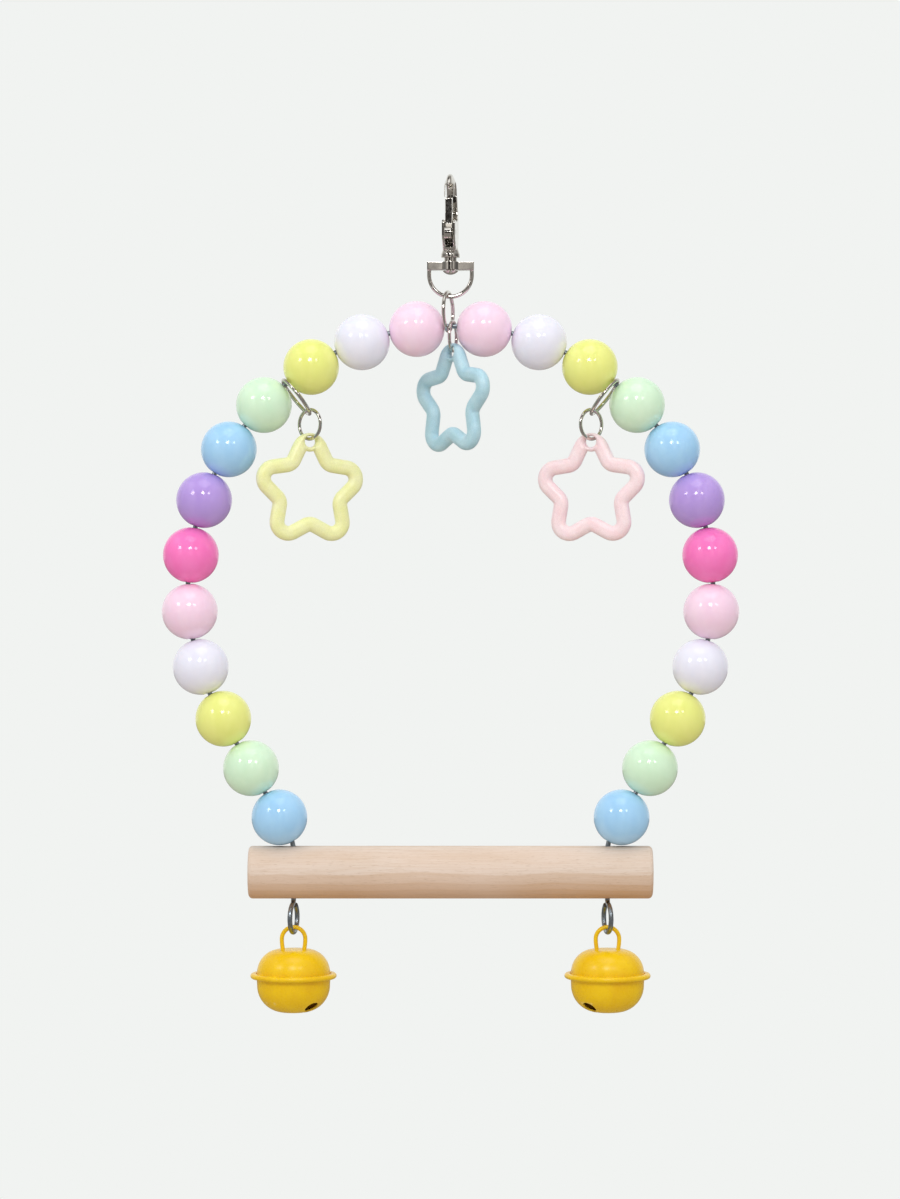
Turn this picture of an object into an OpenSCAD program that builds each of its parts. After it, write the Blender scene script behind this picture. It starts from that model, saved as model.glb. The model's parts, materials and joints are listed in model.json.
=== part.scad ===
// Bird swing: a wire arch threaded with round beads carries a turned wooden perch. It hangs
// from a swivel trigger hook. Star charms hang on rings from the arch, and jingle bells hang
// from the wire eyes below the perch.
// Lengths are in millimetres and angles in degrees. X runs along the perch, the front faces -Y
// and Z is up. The origin is on the axis of the hook's crown, where the carrying bar lies.

/* [Hook] */
// Inner radius of the crown, which rests on a bar
crown_r = 3.2; // [2.8:0.1:3.6]
// Thickness of the crown above the bar
crown_t = 2.8; // [2.5:0.1:3]
// Width of the crown along the bar
crown_w = 3; // [2.8:0.1:3.4]
// Radius of the crown's narrow outer edge
crown_edge_r = 0.8; // [0.7:0.1:1.1]
// Angle by which the nose reaches below the crown's axis
nose_dip = 15; // [10:1:20]
// Drop from the crown's axis to the underside of the base
hook_drop = 17.9; // [17:0.1:20]
// Height of the housing above the underside of the base
housing_h = 10.3; // [9.8:0.1:11]
// Width of the housing along the bar
housing_w = 3.8; // [3.6:0.1:4.6]
// Diameter of the flared base
base_d = 5.4; // [5:0.1:6.5]
// Height of the base's straight rim
base_rim_h = 0.9; // [0.6:0.1:1.2]
// Height of the flare above the rim
base_flare_h = 2.2; // [1.6:0.1:2.6]
// Turn of the hook on its swivel, seen from above
hook_turn = -6; // [-30:1:30]

/* [Gate] */
// Height of the gate's pivot above the underside of the base
pivot_h = 6.9; // [6.6:0.1:7.2]
// Distance of the pivot in front of the crown's axis
pivot_front = 3.6; // [3.4:0.1:3.9]
// Radius of the cheeks around the pivot
cheek_r = 2.3; // [2.1:0.1:2.6]
// Width of the gate
gate_w = 2; // [1.6:0.1:2.2]
// Radius of the gate's boss
gate_boss_r = 1.7; // [1.5:0.1:1.9]
// Radius of the thumb piece
thumb_r = 1.7; // [1.4:0.1:2]
// Reach of the thumb piece in front of the pivot, to its centre
thumb_reach = 3.1; // [2.8:0.1:3.6]
// Diameter of the gate's pin
pin_d = 1.2; // [1:0.1:1.4]
// Wire of the gate's spring
gate_spring_wire = 0.3; // [0.25:0.05:0.35]
// Outer diameter of the gate's spring
gate_spring_od = 1.8; // [1.6:0.1:1.9]
// Turns of the gate's spring
gate_spring_turns = 3.5; // [3:0.5:4]

/* [Swivel] */
// Diameter of the rivet's shank
rivet_d = 2.2; // [2:0.1:2.6]
// Diameter of the rivet's shoulder under the base
shoulder_d = 3.6; // [3.2:0.1:4]
// Height of the rivet's shoulder
shoulder_h = 1.1; // [0.8:0.1:1.4]
// Depth of the shank inside the base
rivet_grip = 1.8; // [1.4:0.1:2]
// Diameter of the rivet's domed head
rivet_head_d = 4.6; // [4:0.1:5]
// Height of the rivet's domed head
rivet_head_h = 1.1; // [0.8:0.1:1.4]
// Width of the D-shaped ring
swivel_w = 13.4; // [12:0.1:15]
// Height of its flat bar
bar_h = 2.4; // [2:0.1:2.8]
// Depth of its flat bar from front to back
bar_t = 3; // [2.4:0.1:3.4]
// Diameter of the boss around the rivet
bar_boss_d = 5.2; // [4.8:0.1:5.8]
// Wire of its bow
bow_wire = 1.2; // [1:0.1:1.4]
// Straight length of the bow's sides below the bar
bow_side = 1.4; // [1:0.1:3]

/* [Arch] */
// Diameter of the arch wire
arch_wire_d = 1.4; // [1.2:0.1:1.6]
// Radius of the arch, to the wire's centre
arch_r = 75; // [72:0.5:80]
// Angle of the round stretch on each side of the top
arch_angle = 120; // [114:1:124]
// Radius of the bend above the perch
foot_bend_r = 10; // [8:0.5:12]
// Length inside the lowest bead where that bend starts
foot_bend_lead = 2.6; // [2:0.1:3]
// Radius of the eyes below the perch, to the wire's centre
eye_r = 4.1; // [3.5:0.1:4.5]
// Radius of the neck bend that leads into an eye
neck_r = 1.5; // [1.2:0.1:1.8]
// Turn of the eyes away from square to the perch
eye_turn = 12; // [0:1:20]

/* [Beads] */
// Diameter of a bead
bead_d = 16; // [15:0.1:17]
// Bore of a bead
bead_bore = 2.5; // [2.3:0.1:3.2]
// Width of the chamfer at a bore's mouths
bead_mouth = 0.35; // [0.2:0.05:0.6]
// Gap between neighbouring beads
bead_gap = 0.18; // [0.1:0.02:0.4]
// Gap between the two top beads, which takes two rings
top_gap = 3.3; // [3.1:0.1:3.6]
// Gap between the beads beside a side ring
link_gap = 1.4; // [1.3:0.1:2]

/* [Rings] */
// Outer diameter of the ring that carries the arch
hanger_od = 12.2; // [11.5:0.1:14]
// Outer diameter of the side rings on the arch
link_od = 13.4; // [12.5:0.1:14.5]
// Outer diameter of the small rings that carry the stars
star_ring_od = 9.4; // [9.2:0.1:10]
// Wire of the larger rings
ring_wire = 1.1; // [1:0.05:1.2]
// Wire of the small rings
star_ring_wire = 1; // [0.9:0.05:1.1]
// Slit where a ring's ends meet
ring_slit = 0.12; // [0.06:0.02:0.2]
// Turn of the two rings at the top of the arch, seen from above
top_ring_turn = -14; // [-15:1:-12]
// Turn of the side rings on the arch away from square to it
link_ring_turn = 8; // [0:1:12]
// Turn of the small side rings, seen from above
side_ring_turn = 42; // [30:1:50]

/* [Stars] */
// Distance from a star's centre to its outer tips
star_r = 16.5; // [15.5:0.1:17.5]
// Distance from a star's centre to the middle of its tube at the notches
star_notch_r = 9.6; // [9:0.1:10.2]
// Width of the star's tube
star_tube_w = 4.3; // [4.1:0.1:4.6]
// Thickness of the star from front to back
star_t = 3.6; // [3.2:0.1:4]
// Radius of the tips, to the middle of the tube
star_tip_r = 3.3; // [3:0.1:3.6]
// Radius of the notches, to the middle of the tube
star_notch_bend_r = 2.8; // [2.6:0.1:3.2]
// Radius of the hole in the top tip
star_hole_r = 1.6; // [1.5:0.1:1.7]
// Depth of the hole's centre below the top of the tip
star_hole_drop = 2.5; // [2.4:0.1:2.8]
// Rounding of the hole's mouths
star_mouth_r = 1.75; // [1.6:0.05:1.75]
// Radius of the thickening around the hole
star_lug_r = 2.7; // [2.4:0.1:3]
// Turn of the side stars, seen from above
side_star_turn = 20; // [0:1:40]
// Turn of the top star, seen from above
top_star_turn = -52; // [-54:1:-48]

/* [Perch] */
// Diameter of the perch
perch_d = 15; // [13:0.5:18]
// Length of the perch beyond each wire
perch_overhang = 12.8; // [8:0.1:20]
// Rounding of the perch's ends
perch_edge_r = 1.2; // [0.6:0.1:2]
// Bore through the perch for the wire
perch_bore = 2.4; // [2.2:0.1:3]

/* [Bells] */
// Radius of a bell's body
bell_r = 10.4; // [9.5:0.1:11.5]
// Height of the upper shell above the rim
dome_h = 7.8; // [7.2:0.1:8.6]
// Radius from the upper shell's side to its flat top
dome_round = 6.6; // [6:0.1:7]
// Depth of the lower shell below the rim
bowl_h = 10.1; // [9.6:0.1:11]
// Radius from the lower shell's side to its flat bottom
bowl_round = 7.6; // [7:0.1:8.4]
// Thickness of the sheet
bell_sheet = 0.5; // [0.4:0.05:0.6]
// Width of the crimped rim beyond the body
rim_w = 1.9; // [1.8:0.1:2.6]
// Width of the lip that is folded over the upper shell
rim_lip = 0.8; // [0.5:0.1:1]
// Wire of a bell's loop
loop_wire = 1.2; // [1:0.1:1.4]
// Outer width of a bell's loop
loop_w = 7.9; // [7:0.1:9]
// Height of a bell's loop above the shell
loop_h = 6.9; // [6.6:0.1:8]
// Width of the slot across the bottom
slot_w = 1.3; // [1:0.1:1.8]
// Diameter of the holes at the slot's ends
slot_hole_d = 4.2; // [3:0.1:4.4]
// Angle of those holes from the bottom, round the lower shell's bend
slot_hole_angle = 40; // [30:1:44]
// Turn of the slot, seen from above
slot_turn = 45; // [0:1:60]
// Diameter of the pellet that rings the bell
pellet_d = 6.4; // [5.5:0.1:7]

/* [Hidden] */
$fn = 48;
bead_count = 12;
link_after = 3;
bead_colours = ["#F4CBE6", "#ECEAF6", "#E6EE7A", "#CDEFCB", "#8FC3EC", "#A98FD6",
                "#F05CA8", "#F4CBE6", "#ECEAF6", "#E6EE7A", "#CDEFCB", "#8FC3EC"];

// Clearances: pieces that are fixed together, a pin that runs, and pieces that hang free
fit_gap = 0.02;
run_gap = 0.06;
hang_gap = 0.15;
// Overrun of every cut
over = 1;
// A ball, a little wider than the wire, blends each bend into the next stretch
blend_share = 1.02;

// Hook, seen from the side: front is negative
crown_out = crown_r + crown_t;
crown_ease = 0.5;
base_z = -hook_drop;
floor_z = base_z + housing_h;
pivot_z = base_z + pivot_h;
gate_gap = 0.15;
slot_x = gate_w + 2 * gate_gap;
heel_h = 0.9;
heel_back = 4;
bridge_z = pivot_z + heel_h + gate_gap;
bridge_back = 0.6;
chamber_depth = 4.2;
chamber_z = pivot_z - chamber_depth;
spring_top_z = pivot_z - heel_h - fit_gap;
spring_y = heel_back - pivot_front - gate_spring_od / 2 - gate_spring_wire;
cheek_corner = 0.8;
// Shares of the gate's own sizes: its seat at the nose, its root, its brow and its drooping thumb piece
gate_nose_share = 3 / 4;
gate_root_share = 2 / 3;
gate_brow_share = 1.3;
thumb_sag_share = 1 / 3;

// Swivel: each piece hangs under the one above
bar_top_z = base_z - shoulder_h - hang_gap;
bar_low_z = bar_top_z - bar_h;
bow_r = (swivel_w - bow_wire) / 2;
bow_z = bar_low_z - bow_side;
bow_low_z = bow_z - bow_r;

// Rings: radius to the middle of the wire
hanger_r = (hanger_od - ring_wire) / 2;
link_r = (link_od - ring_wire) / 2;
star_ring_r = (star_ring_od - star_ring_wire) / 2;
// Where each ring's slit lies, clear of what it carries
hanger_slit_angle = 30;
top_slit_angle = 200;
link_slit_angle = 25;
side_slit_angle = 160;
hanger_z = bow_low_z + (bow_wire + ring_wire) / 2 + hang_gap - hanger_r;
top_ring_x = (ring_wire + star_ring_wire) / 4 + hang_gap;

// Arch: its path runs from the top round and down to the lowest bead
arch_top_z = hanger_z - hanger_r + (ring_wire + arch_wire_d) / 2 + hang_gap;
arch_z = arch_top_z - arch_r;
leg_lean = arch_angle - 90;
mm_per_turn = arch_r * PI / 180;
pitch_turn = 2 * asin((bead_d + bead_gap) / 2 / arch_r);
first_turn = asin((bead_d + top_gap) / 2 / arch_r);
link_turn = (link_gap - bead_gap) / mm_per_turn;
// A straight bore on the round wire lies inward by half of the wire's rise along the bead
bore_in = pow(bead_d, 2) / arch_r / 16;

function bead_turn(i) = first_turn + (i - 1) * pitch_turn + (i > link_after ? link_turn : 0);
function inward(t) = [-sin(t), 0, -cos(t)];
function path_at(t) =
    let (a = min(t, arch_angle), run = max(0, t - arch_angle) * mm_per_turn)
    [arch_r * sin(a) - run * sin(leg_lean), 0, arch_z + arch_r * cos(a) - run * cos(leg_lean)];
function bead_at(i) =
    let (t = bead_turn(i)) path_at(t) + (t < arch_angle ? bore_in : 0) * inward(t);

// Foot of the arch: the leg, the bend above the perch and the straight shank through it
last_turn = bead_turn(bead_count);
leg_len = (last_turn - arch_angle) * mm_per_turn + bead_d / 2 - foot_bend_lead;
leg_end = path_at(arch_angle) - leg_len * [sin(leg_lean), 0, cos(leg_lean)];
foot_centre = leg_end + foot_bend_r * [cos(leg_lean), 0, -sin(leg_lean)];
shank_x = foot_centre[0] - foot_bend_r;
perch_top_z = bead_at(bead_count)[2] - bead_d / 2 - bead_gap;
perch_z = perch_top_z - perch_d / 2;
perch_len = 2 * (shank_x + perch_overhang);
neck_z = perch_top_z - perch_d - hang_gap;
neck_turn = acos(neck_r / (neck_r + eye_r));
eye_z = neck_z - (neck_r + eye_r) * sin(neck_turn);
eye_end_share = 1.5;
eye_low_z = eye_z - eye_r;

// Side rings and the rings below them
link_at_turn = (bead_turn(link_after) + bead_turn(link_after + 1)) / 2;
link_lift = (arch_wire_d + ring_wire) / 2 + hang_gap;
link_far = path_at(link_at_turn) + (2 * link_r - link_lift) * inward(link_at_turn);
side_ring_z = link_far[2] + (ring_wire + star_ring_wire) / 2 + hang_gap - star_ring_r;
top_star_ring_z = arch_top_z + (arch_wire_d + star_ring_wire) / 2 + hang_gap - star_ring_r;

// Star: a five-pointed outline of arcs and straight runs, to the middle of its tube
star_point_count = 5;
half_point = 180 / star_point_count;
tip_r = star_r - star_tube_w / 2 - star_tip_r;
// Sharp corners of the outline, found from the rounded tips and notches
function tip_half(a) = asin(sin(half_point) * (star_notch_r - notch_round(a)) / edge_len(a));
function notch_round(a) = star_notch_bend_r * (1 / cos(90 - half_point - a) - 1);
function corner_r(a) = tip_r + star_tip_r / sin(a);
function edge_len(a) =
    let (t = corner_r(a), n = star_notch_r - notch_round(a))
    sqrt(t * t + n * n - 2 * t * n * cos(half_point));
function settle(a, left) = left == 0 ? a : settle(tip_half(a), left - 1);
tip_angle = settle(26, 40);
tip_sweep = 2 * (90 - tip_angle);
notch_sweep = 2 * (90 - half_point - tip_angle);
notch_centre_r = star_notch_r + star_notch_bend_r;
star_hole_y = star_r - star_hole_drop;
// A ring that passes askew through a star's hole can't rise to the top of the hole
side_askew_drop = 0.2;
top_askew_drop = 0.65;
hang_in_hole = star_hole_r - star_ring_wire / 2 - hang_gap;
side_star_z = side_ring_z - star_ring_r - hang_in_hole + side_askew_drop - star_hole_y;
top_star_z = top_star_ring_z - star_ring_r - hang_in_hole + top_askew_drop - star_hole_y;

// Bells: heights are from the eye's wire down
loop_r = (loop_w - loop_wire) / 2;
loop_top_z = eye_low_z + (arch_wire_d + loop_wire) / 2 + hang_gap;
bell_top_z = loop_top_z + loop_wire / 2 - loop_h;
rim_z = bell_top_z - dome_h;
clinch_r = 1.1;
clinch_turn = 80;
rim_r = bell_r + rim_w;
pellet_z = rim_z - (bowl_h - bell_sheet - pellet_d / 2 - run_gap);

function side_names(base, n) = [for (side = ["left", "right"]) for (i = [1:n]) str(base, "_", side, "_", i)];
bead_names = side_names("bead", bead_count);

// Shared shapes

// A profile drawn from the side, front to the left, made solid across the hook
module across(w) {
    rotate([90, 0, 90]) linear_extrude(w, center = true) children();
}

// A bend of round wire in the XZ plane, its angles counted from +X towards +Z
module wire_bend(r, from, turn, d) {
    rotate([90, 0, 0]) rotate([0, 0, from]) rotate_extrude(angle = turn) translate([r, 0]) circle(d = d);
}

// A jump ring in the XZ plane: one turn of wire whose ends all but meet at the given angle
module jump_ring(r, wire, slit_angle) {
    slit_turn = ring_slit / r * 180 / PI;
    wire_bend(r, slit_angle + slit_turn / 2, 360 - slit_turn, wire);
}

// The right-hand place, or its mirror image on the left
module on_side(left) {
    if (left) mirror([1, 0, 0]) children();
    else children();
}

// Hook

// The crown is flat where it rests on the bar and narrows outward
module crown_section() {
    edge_x = crown_out - crown_edge_r;
    round_x = crown_r + crown_ease;
    flank_lean = asin((crown_w / 2 - crown_edge_r) / (edge_x - round_x));
    polygon([
        [crown_r, crown_ease - crown_w / 2], [round_x, -crown_w / 2],
        [edge_x + crown_edge_r * sin(flank_lean), -crown_edge_r * cos(flank_lean)],
        [edge_x + crown_edge_r * sin(flank_lean), crown_edge_r * cos(flank_lean)],
        [round_x, crown_w / 2], [crown_r, crown_w / 2 - crown_ease]
    ]);
    translate([edge_x, 0]) circle(r = crown_edge_r);
}

// Side view of the spine, the throat's floor and the cheeks
module housing_outline() {
    front = -pivot_front - cheek_r;
    flare_z = base_z + base_rim_h + base_flare_h / 2;
    polygon([
        [crown_out, 0], [crown_out, floor_z], [base_d / 2, flare_z], [-base_d / 2, flare_z],
        [front + cheek_corner, pivot_z - cheek_r], [front, pivot_z - cheek_r / 2],
        [front, floor_z - cheek_corner], [front + cheek_corner, floor_z], [0, floor_z],
        [crown_r, floor_z + crown_r], [crown_r, 0]
    ]);
}

// Front view: the hook widens from the crown down to the housing
module housing_front() {
    polygon([
        [-crown_w / 2, 0], [crown_w / 2, 0], [housing_w / 2, floor_z], [housing_w / 2, base_z],
        [-housing_w / 2, base_z], [-housing_w / 2, floor_z]
    ]);
}

module housing() {
    intersection() {
        across(base_d) housing_outline();
        rotate([90, 0, 0]) linear_extrude(4 * crown_out, center = true) housing_front();
        translate([0, 0, base_z]) linear_extrude(hook_drop) {
            translate([0, crown_out - housing_w / 2]) circle(d = housing_w);
            translate([-housing_w / 2, -2 * crown_out])
                square([housing_w, 3 * crown_out - housing_w / 2]);
        }
    }
}

module hook_base() {
    translate([0, 0, base_z]) cylinder(d = base_d, h = base_rim_h);
    translate([0, 0, base_z + base_rim_h]) cylinder(d1 = base_d, d2 = housing_w, h = base_flare_h);
}

// The slot between the cheeks, with the chamber that holds the gate's heel and spring
module gate_slot() {
    reach = 2 * crown_out;
    translate([-slot_x / 2, -reach, chamber_z]) cube([slot_x, reach - bridge_back, hook_drop]);
    translate([-slot_x / 2, -reach, chamber_z])
        cube([slot_x, reach + heel_back - pivot_front + gate_gap, bridge_z - chamber_z]);
}

module hook_body() {
    color("#D5D3CC") rotate([0, 0, hook_turn]) difference() {
        union() {
            rotate([90, 0, 90]) rotate_extrude(angle = 180 + nose_dip) crown_section();
            housing();
            hook_base();
        }
        translate([0, 0, floor_z + crown_r]) rotate([0, 90, 0])
            cylinder(r = crown_r, h = base_d, center = true);
        gate_slot();
        translate([0, -pivot_front, pivot_z]) rotate([0, 90, 0])
            cylinder(d = pin_d + 2 * fit_gap, h = 2 * base_d, center = true);
        translate([0, 0, base_z - over]) cylinder(d = rivet_d + 2 * fit_gap, h = rivet_grip + over);
    }
}

// Side view of the gate: an arm up to the nose, a thumb piece in front and a heel behind
module gate_outline() {
    pivot = [-pivot_front, pivot_z];
    face = [-cos(nose_dip), -sin(nose_dip)];
    stand_off = gate_gap * [sin(nose_dip), -cos(nose_dip)];
    tip_in = (crown_r + gate_gap) * face + stand_off;
    tip_out = (crown_r + crown_t * gate_nose_share) * face + stand_off;
    thumb = pivot + [-thumb_reach, -thumb_r * thumb_sag_share];
    translate(pivot) circle(r = gate_boss_r);
    polygon([tip_in, tip_out, pivot - [gate_boss_r, 0], pivot, pivot + [gate_boss_r * gate_root_share, 0]]);
    translate(pivot + [0, -heel_h]) square([heel_back, 2 * heel_h]);
    translate(thumb) circle(r = thumb_r);
    polygon([
        pivot + [0, gate_boss_r], pivot + [-gate_boss_r, gate_boss_r * gate_brow_share],
        thumb + [0, thumb_r], thumb - [0, thumb_r], pivot - [0, gate_boss_r]
    ]);
}

module hook_gate() {
    color("#C9C6BE") rotate([0, 0, hook_turn]) difference() {
        across(gate_w) gate_outline();
        translate([0, -pivot_front, pivot_z]) rotate([0, 90, 0])
            cylinder(d = pin_d + 2 * run_gap, h = 2 * gate_w, center = true);
    }
}

module gate_pin() {
    color("#B9B6AE") rotate([0, 0, hook_turn]) translate([0, -pivot_front, pivot_z])
        rotate([0, 90, 0]) cylinder(d = pin_d, h = housing_w, center = true);
}

// A coil of round wire standing on its end, swept ring by ring
function coil_ring(k, steps, r, wire, rise, turns, sides) =
    let (a = 360 * turns * k / steps, z = rise * k / steps)
    [for (j = [0:sides - 1]) let (b = 360 * j / sides)
        [(r + wire / 2 * cos(b)) * cos(a), (r + wire / 2 * cos(b)) * sin(a), z + wire / 2 * sin(b)]];

module coil(r, wire, rise, turns) {
    sides = 6;
    steps = round(8 * turns);
    points = [for (k = [0:steps]) each coil_ring(k, steps, r, wire, rise, turns, sides)];
    walls = [for (k = [0:steps - 1]) for (j = [0:sides - 1])
        let (a = k * sides + j, b = k * sides + (j + 1) % sides)
        each [[a, b, a + sides], [b, b + sides, a + sides]]];
    first_end = [for (j = [sides - 1:-1:0]) j];
    last_end = [for (j = [0:sides - 1]) steps * sides + j];
    polyhedron(points, concat(walls, [first_end, last_end]), convexity = 8);
}

module gate_spring() {
    low = chamber_z + gate_spring_wire / 2 + fit_gap;
    color("#A8A8A8") rotate([0, 0, hook_turn]) translate([0, spring_y, low])
        coil((gate_spring_od - gate_spring_wire) / 2, gate_spring_wire,
             spring_top_z - gate_spring_wire / 2 - low, gate_spring_turns);
}

// Swivel

module swivel_rivet() {
    dome_r = (pow(rivet_head_d / 2, 2) + pow(rivet_head_h, 2)) / 2 / rivet_head_h;
    head_low_z = bar_low_z - hang_gap - rivet_head_h;
    shank_z = head_low_z + rivet_head_h / 2;
    color("#CFCCC4") {
        translate([0, 0, shank_z]) cylinder(d = rivet_d, h = base_z + rivet_grip - shank_z);
        translate([0, 0, base_z - shoulder_h]) cylinder(d = shoulder_d, h = shoulder_h);
        intersection() {
            translate([0, 0, head_low_z + dome_r]) sphere(r = dome_r);
            translate([0, 0, head_low_z]) cylinder(d = rivet_head_d, h = rivet_head_h);
        }
    }
}

module swivel_ring() {
    color("#C4C1B8") {
        difference() {
            union() {
                translate([-swivel_w / 2, -bar_t / 2, bar_low_z]) cube([swivel_w, bar_t, bar_h]);
                translate([0, 0, bar_low_z]) cylinder(d = bar_boss_d, h = bar_h);
            }
            translate([0, 0, bar_low_z - over]) cylinder(d = rivet_d + 2 * run_gap, h = bar_h + 2 * over);
        }
        for (side = [-1, 1]) translate([side * bow_r, 0, bow_z])
            cylinder(d = bow_wire, h = bow_side + bow_wire);
        translate([0, 0, bow_z]) wire_bend(bow_r, 180, 180, bow_wire);
    }
}

// Rings

module hanger_ring() {
    color("#D9D6CE") translate([-top_ring_x, 0, hanger_z]) rotate([0, 0, 90 + top_ring_turn])
        jump_ring(hanger_r, ring_wire, hanger_slit_angle);
}

module star_ring_top() {
    color("#D9D6CE") translate([top_ring_x, 0, top_star_ring_z]) rotate([0, 0, 90 + top_ring_turn])
        jump_ring(star_ring_r, star_ring_wire, top_slit_angle);
}

module link_ring(left) {
    centre = path_at(link_at_turn) + (link_r - link_lift) * inward(link_at_turn);
    color("#D9D6CE") on_side(left) translate(centre) rotate([0, link_at_turn, 0])
        rotate([0, 0, 90 - link_ring_turn]) jump_ring(link_r, ring_wire, link_slit_angle);
}

module star_ring(left) {
    color("#D9D6CE") on_side(left) translate([link_far[0], 0, side_ring_z]) rotate([0, 0, side_ring_turn])
        jump_ring(star_ring_r, star_ring_wire, side_slit_angle);
}

// Arch and perch

module wire_eye() {
    end_turn = acos(eye_end_share * arch_wire_d / eye_r);
    translate([-neck_r, 0, neck_z]) wire_bend(neck_r, -neck_turn, neck_turn, arch_wire_d);
    translate([-eye_r * cos(neck_turn), 0, eye_z + eye_r * sin(neck_turn)])
        sphere(d = arch_wire_d * blend_share);
    translate([0, 0, eye_z]) wire_bend(eye_r, 180 - neck_turn, 180 + neck_turn + end_turn, arch_wire_d);
}

module arch_foot() {
    for (joint = [path_at(arch_angle), leg_end, [shank_x, 0, foot_centre[2]], [shank_x, 0, neck_z]])
        translate(joint) sphere(d = arch_wire_d * blend_share);
    translate(leg_end) rotate([0, leg_lean, 0]) cylinder(d = arch_wire_d, h = leg_len);
    translate(foot_centre) wire_bend(foot_bend_r, 180 - leg_lean, leg_lean, arch_wire_d);
    translate([shank_x, 0, neck_z]) cylinder(d = arch_wire_d, h = foot_centre[2] - neck_z);
    translate([shank_x, 0, 0]) rotate([0, 0, 90 + eye_turn]) wire_eye();
}

module arch_wire() {
    color("#9FA9AD") {
        translate([0, 0, arch_z]) wire_bend(arch_r, 90 - arch_angle, 2 * arch_angle, arch_wire_d);
        arch_foot();
        mirror([1, 0, 0]) arch_foot();
    }
}

module perch() {
    half = perch_len / 2;
    color("#DCC3A0") difference() {
        translate([0, 0, perch_z]) rotate([0, 90, 0]) rotate_extrude() {
            translate([0, -half]) square([perch_d / 2 - perch_edge_r, perch_len]);
            translate([0, perch_edge_r - half]) square([perch_d / 2, perch_len - 2 * perch_edge_r]);
            for (side = [-1, 1]) translate([perch_d / 2 - perch_edge_r, side * (half - perch_edge_r)])
                circle(r = perch_edge_r);
        }
        for (side = [-1, 1]) translate([side * shank_x, 0, perch_z])
            cylinder(d = perch_bore, h = 2 * perch_d, center = true);
    }
}

module bead_form() {
    mouth_z = sqrt(pow(bead_d / 2, 2) - pow(bead_bore / 2 + bead_mouth, 2));
    difference() {
        sphere(d = bead_d, $fn = 64);
        cylinder(d = bead_bore, h = 2 * bead_d, center = true);
        for (end = [0, 180]) rotate([end, 0, 0]) translate([0, 0, mouth_z - bead_mouth])
            cylinder(r1 = bead_bore / 2, r2 = bead_bore / 2 + 2 * bead_mouth, h = 2 * bead_mouth);
    }
}

module bead(i, left) {
    color(bead_colours[i - 1]) on_side(left) translate(bead_at(i))
        rotate([0, 90 + min(bead_turn(i), arch_angle), 0]) bead_form();
}

// Stars

// Section of the star's tube: flat in the middle, half round at both edges
function star_section(steps) =
    let (flat = star_tube_w - star_t)
    [for (side = [1, -1]) for (j = [0:steps]) let (b = 180 * j / steps - 90)
        side * [flat / 2 + star_t / 2 * cos(b), star_t / 2 * sin(b)]];

// One slice of the tube, at angle a of an arc whose centre lies at reach r and angle at
function star_slice(section, r, at, arc_r, a, outward) =
    [for (q = section) let (d = arc_r + outward * q[0])
        [r * cos(at) + d * cos(a), r * sin(at) + d * sin(a), q[1]]];

// A closed tube swept round the star, tip and notch in turn, its slices all square to the outline
module star_tube() {
    tip_steps = 8;
    notch_steps = 4;
    section = star_section(8);
    sides = len(section);
    slices = [for (k = [0:star_point_count - 1]) let (tip = 90 - 2 * half_point * k, notch = tip - half_point)
        each concat(
            [for (i = [0:tip_steps])
                star_slice(section, tip_r, tip, star_tip_r, tip + tip_sweep * (1 / 2 - i / tip_steps), 1)],
            [for (i = [0:notch_steps])
                star_slice(section, notch_centre_r, notch, star_notch_bend_r,
                           notch + 180 + notch_sweep * (i / notch_steps - 1 / 2), -1)])];
    count = len(slices);
    walls = [for (k = [0:count - 1]) for (j = [0:sides - 1])
        let (next = (k + 1) % count * sides, turn = (j + 1) % sides, a = k * sides + j, b = k * sides + turn)
        each [[a, next + j, b], [b, next + j, next + turn]]];
    polyhedron([for (slice = slices) each slice], walls, convexity = 6);
}

module star_hole() {
    wide = star_hole_r + star_mouth_r;
    straight = star_t / 2 - star_mouth_r;
    rotate_extrude() difference() {
        translate([0, -star_t]) square([wide, 2 * star_t]);
        translate([star_hole_r, -straight]) square([wide, 2 * straight]);
        for (side = [-1, 1]) translate([wide, side * straight]) circle(r = star_mouth_r);
    }
}

module star_form() {
    difference() {
        union() {
            star_tube();
            translate([0, star_r - star_lug_r]) rotate_extrude() {
                translate([0, -star_t / 2]) square([star_lug_r - star_t / 2, star_t]);
                intersection() {
                    translate([star_lug_r - star_t / 2, 0]) circle(d = star_t);
                    translate([0, -star_t]) square(2 * star_t);
                }
            }
        }
        translate([0, star_hole_y]) star_hole();
    }
}

module star(place, turn) {
    translate(place) rotate([0, 0, turn]) rotate([90, 0, 0]) star_form();
}

module star_left() {
    color("#F1F3A4") star([-link_far[0], 0, side_star_z], side_star_turn);
}

module star_right() {
    color("#F8D3D8") star([link_far[0], 0, side_star_z], -side_star_turn);
}

module star_top() {
    color("#B9DDE6") star([top_ring_x, 0, top_star_z], top_star_turn);
}

// Bells

module bell_place(left) {
    on_side(left) translate([shank_x, 0, rim_z]) children();
}

// Half of a pressed shell in section: a straight side, a bend and a flat top
module shell_section(shell_h, bend_r) {
    flat_x = bell_r - bend_r;
    side_h = shell_h - bend_r;
    intersection() {
        translate([flat_x, side_h]) difference() {
            circle(r = bend_r);
            circle(r = bend_r - bell_sheet);
        }
        translate([flat_x, side_h]) square(bell_r);
    }
    translate([0, shell_h - bell_sheet]) square([flat_x, bell_sheet]);
    translate([bell_r - bell_sheet, 0]) square([bell_sheet, side_h]);
}

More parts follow.
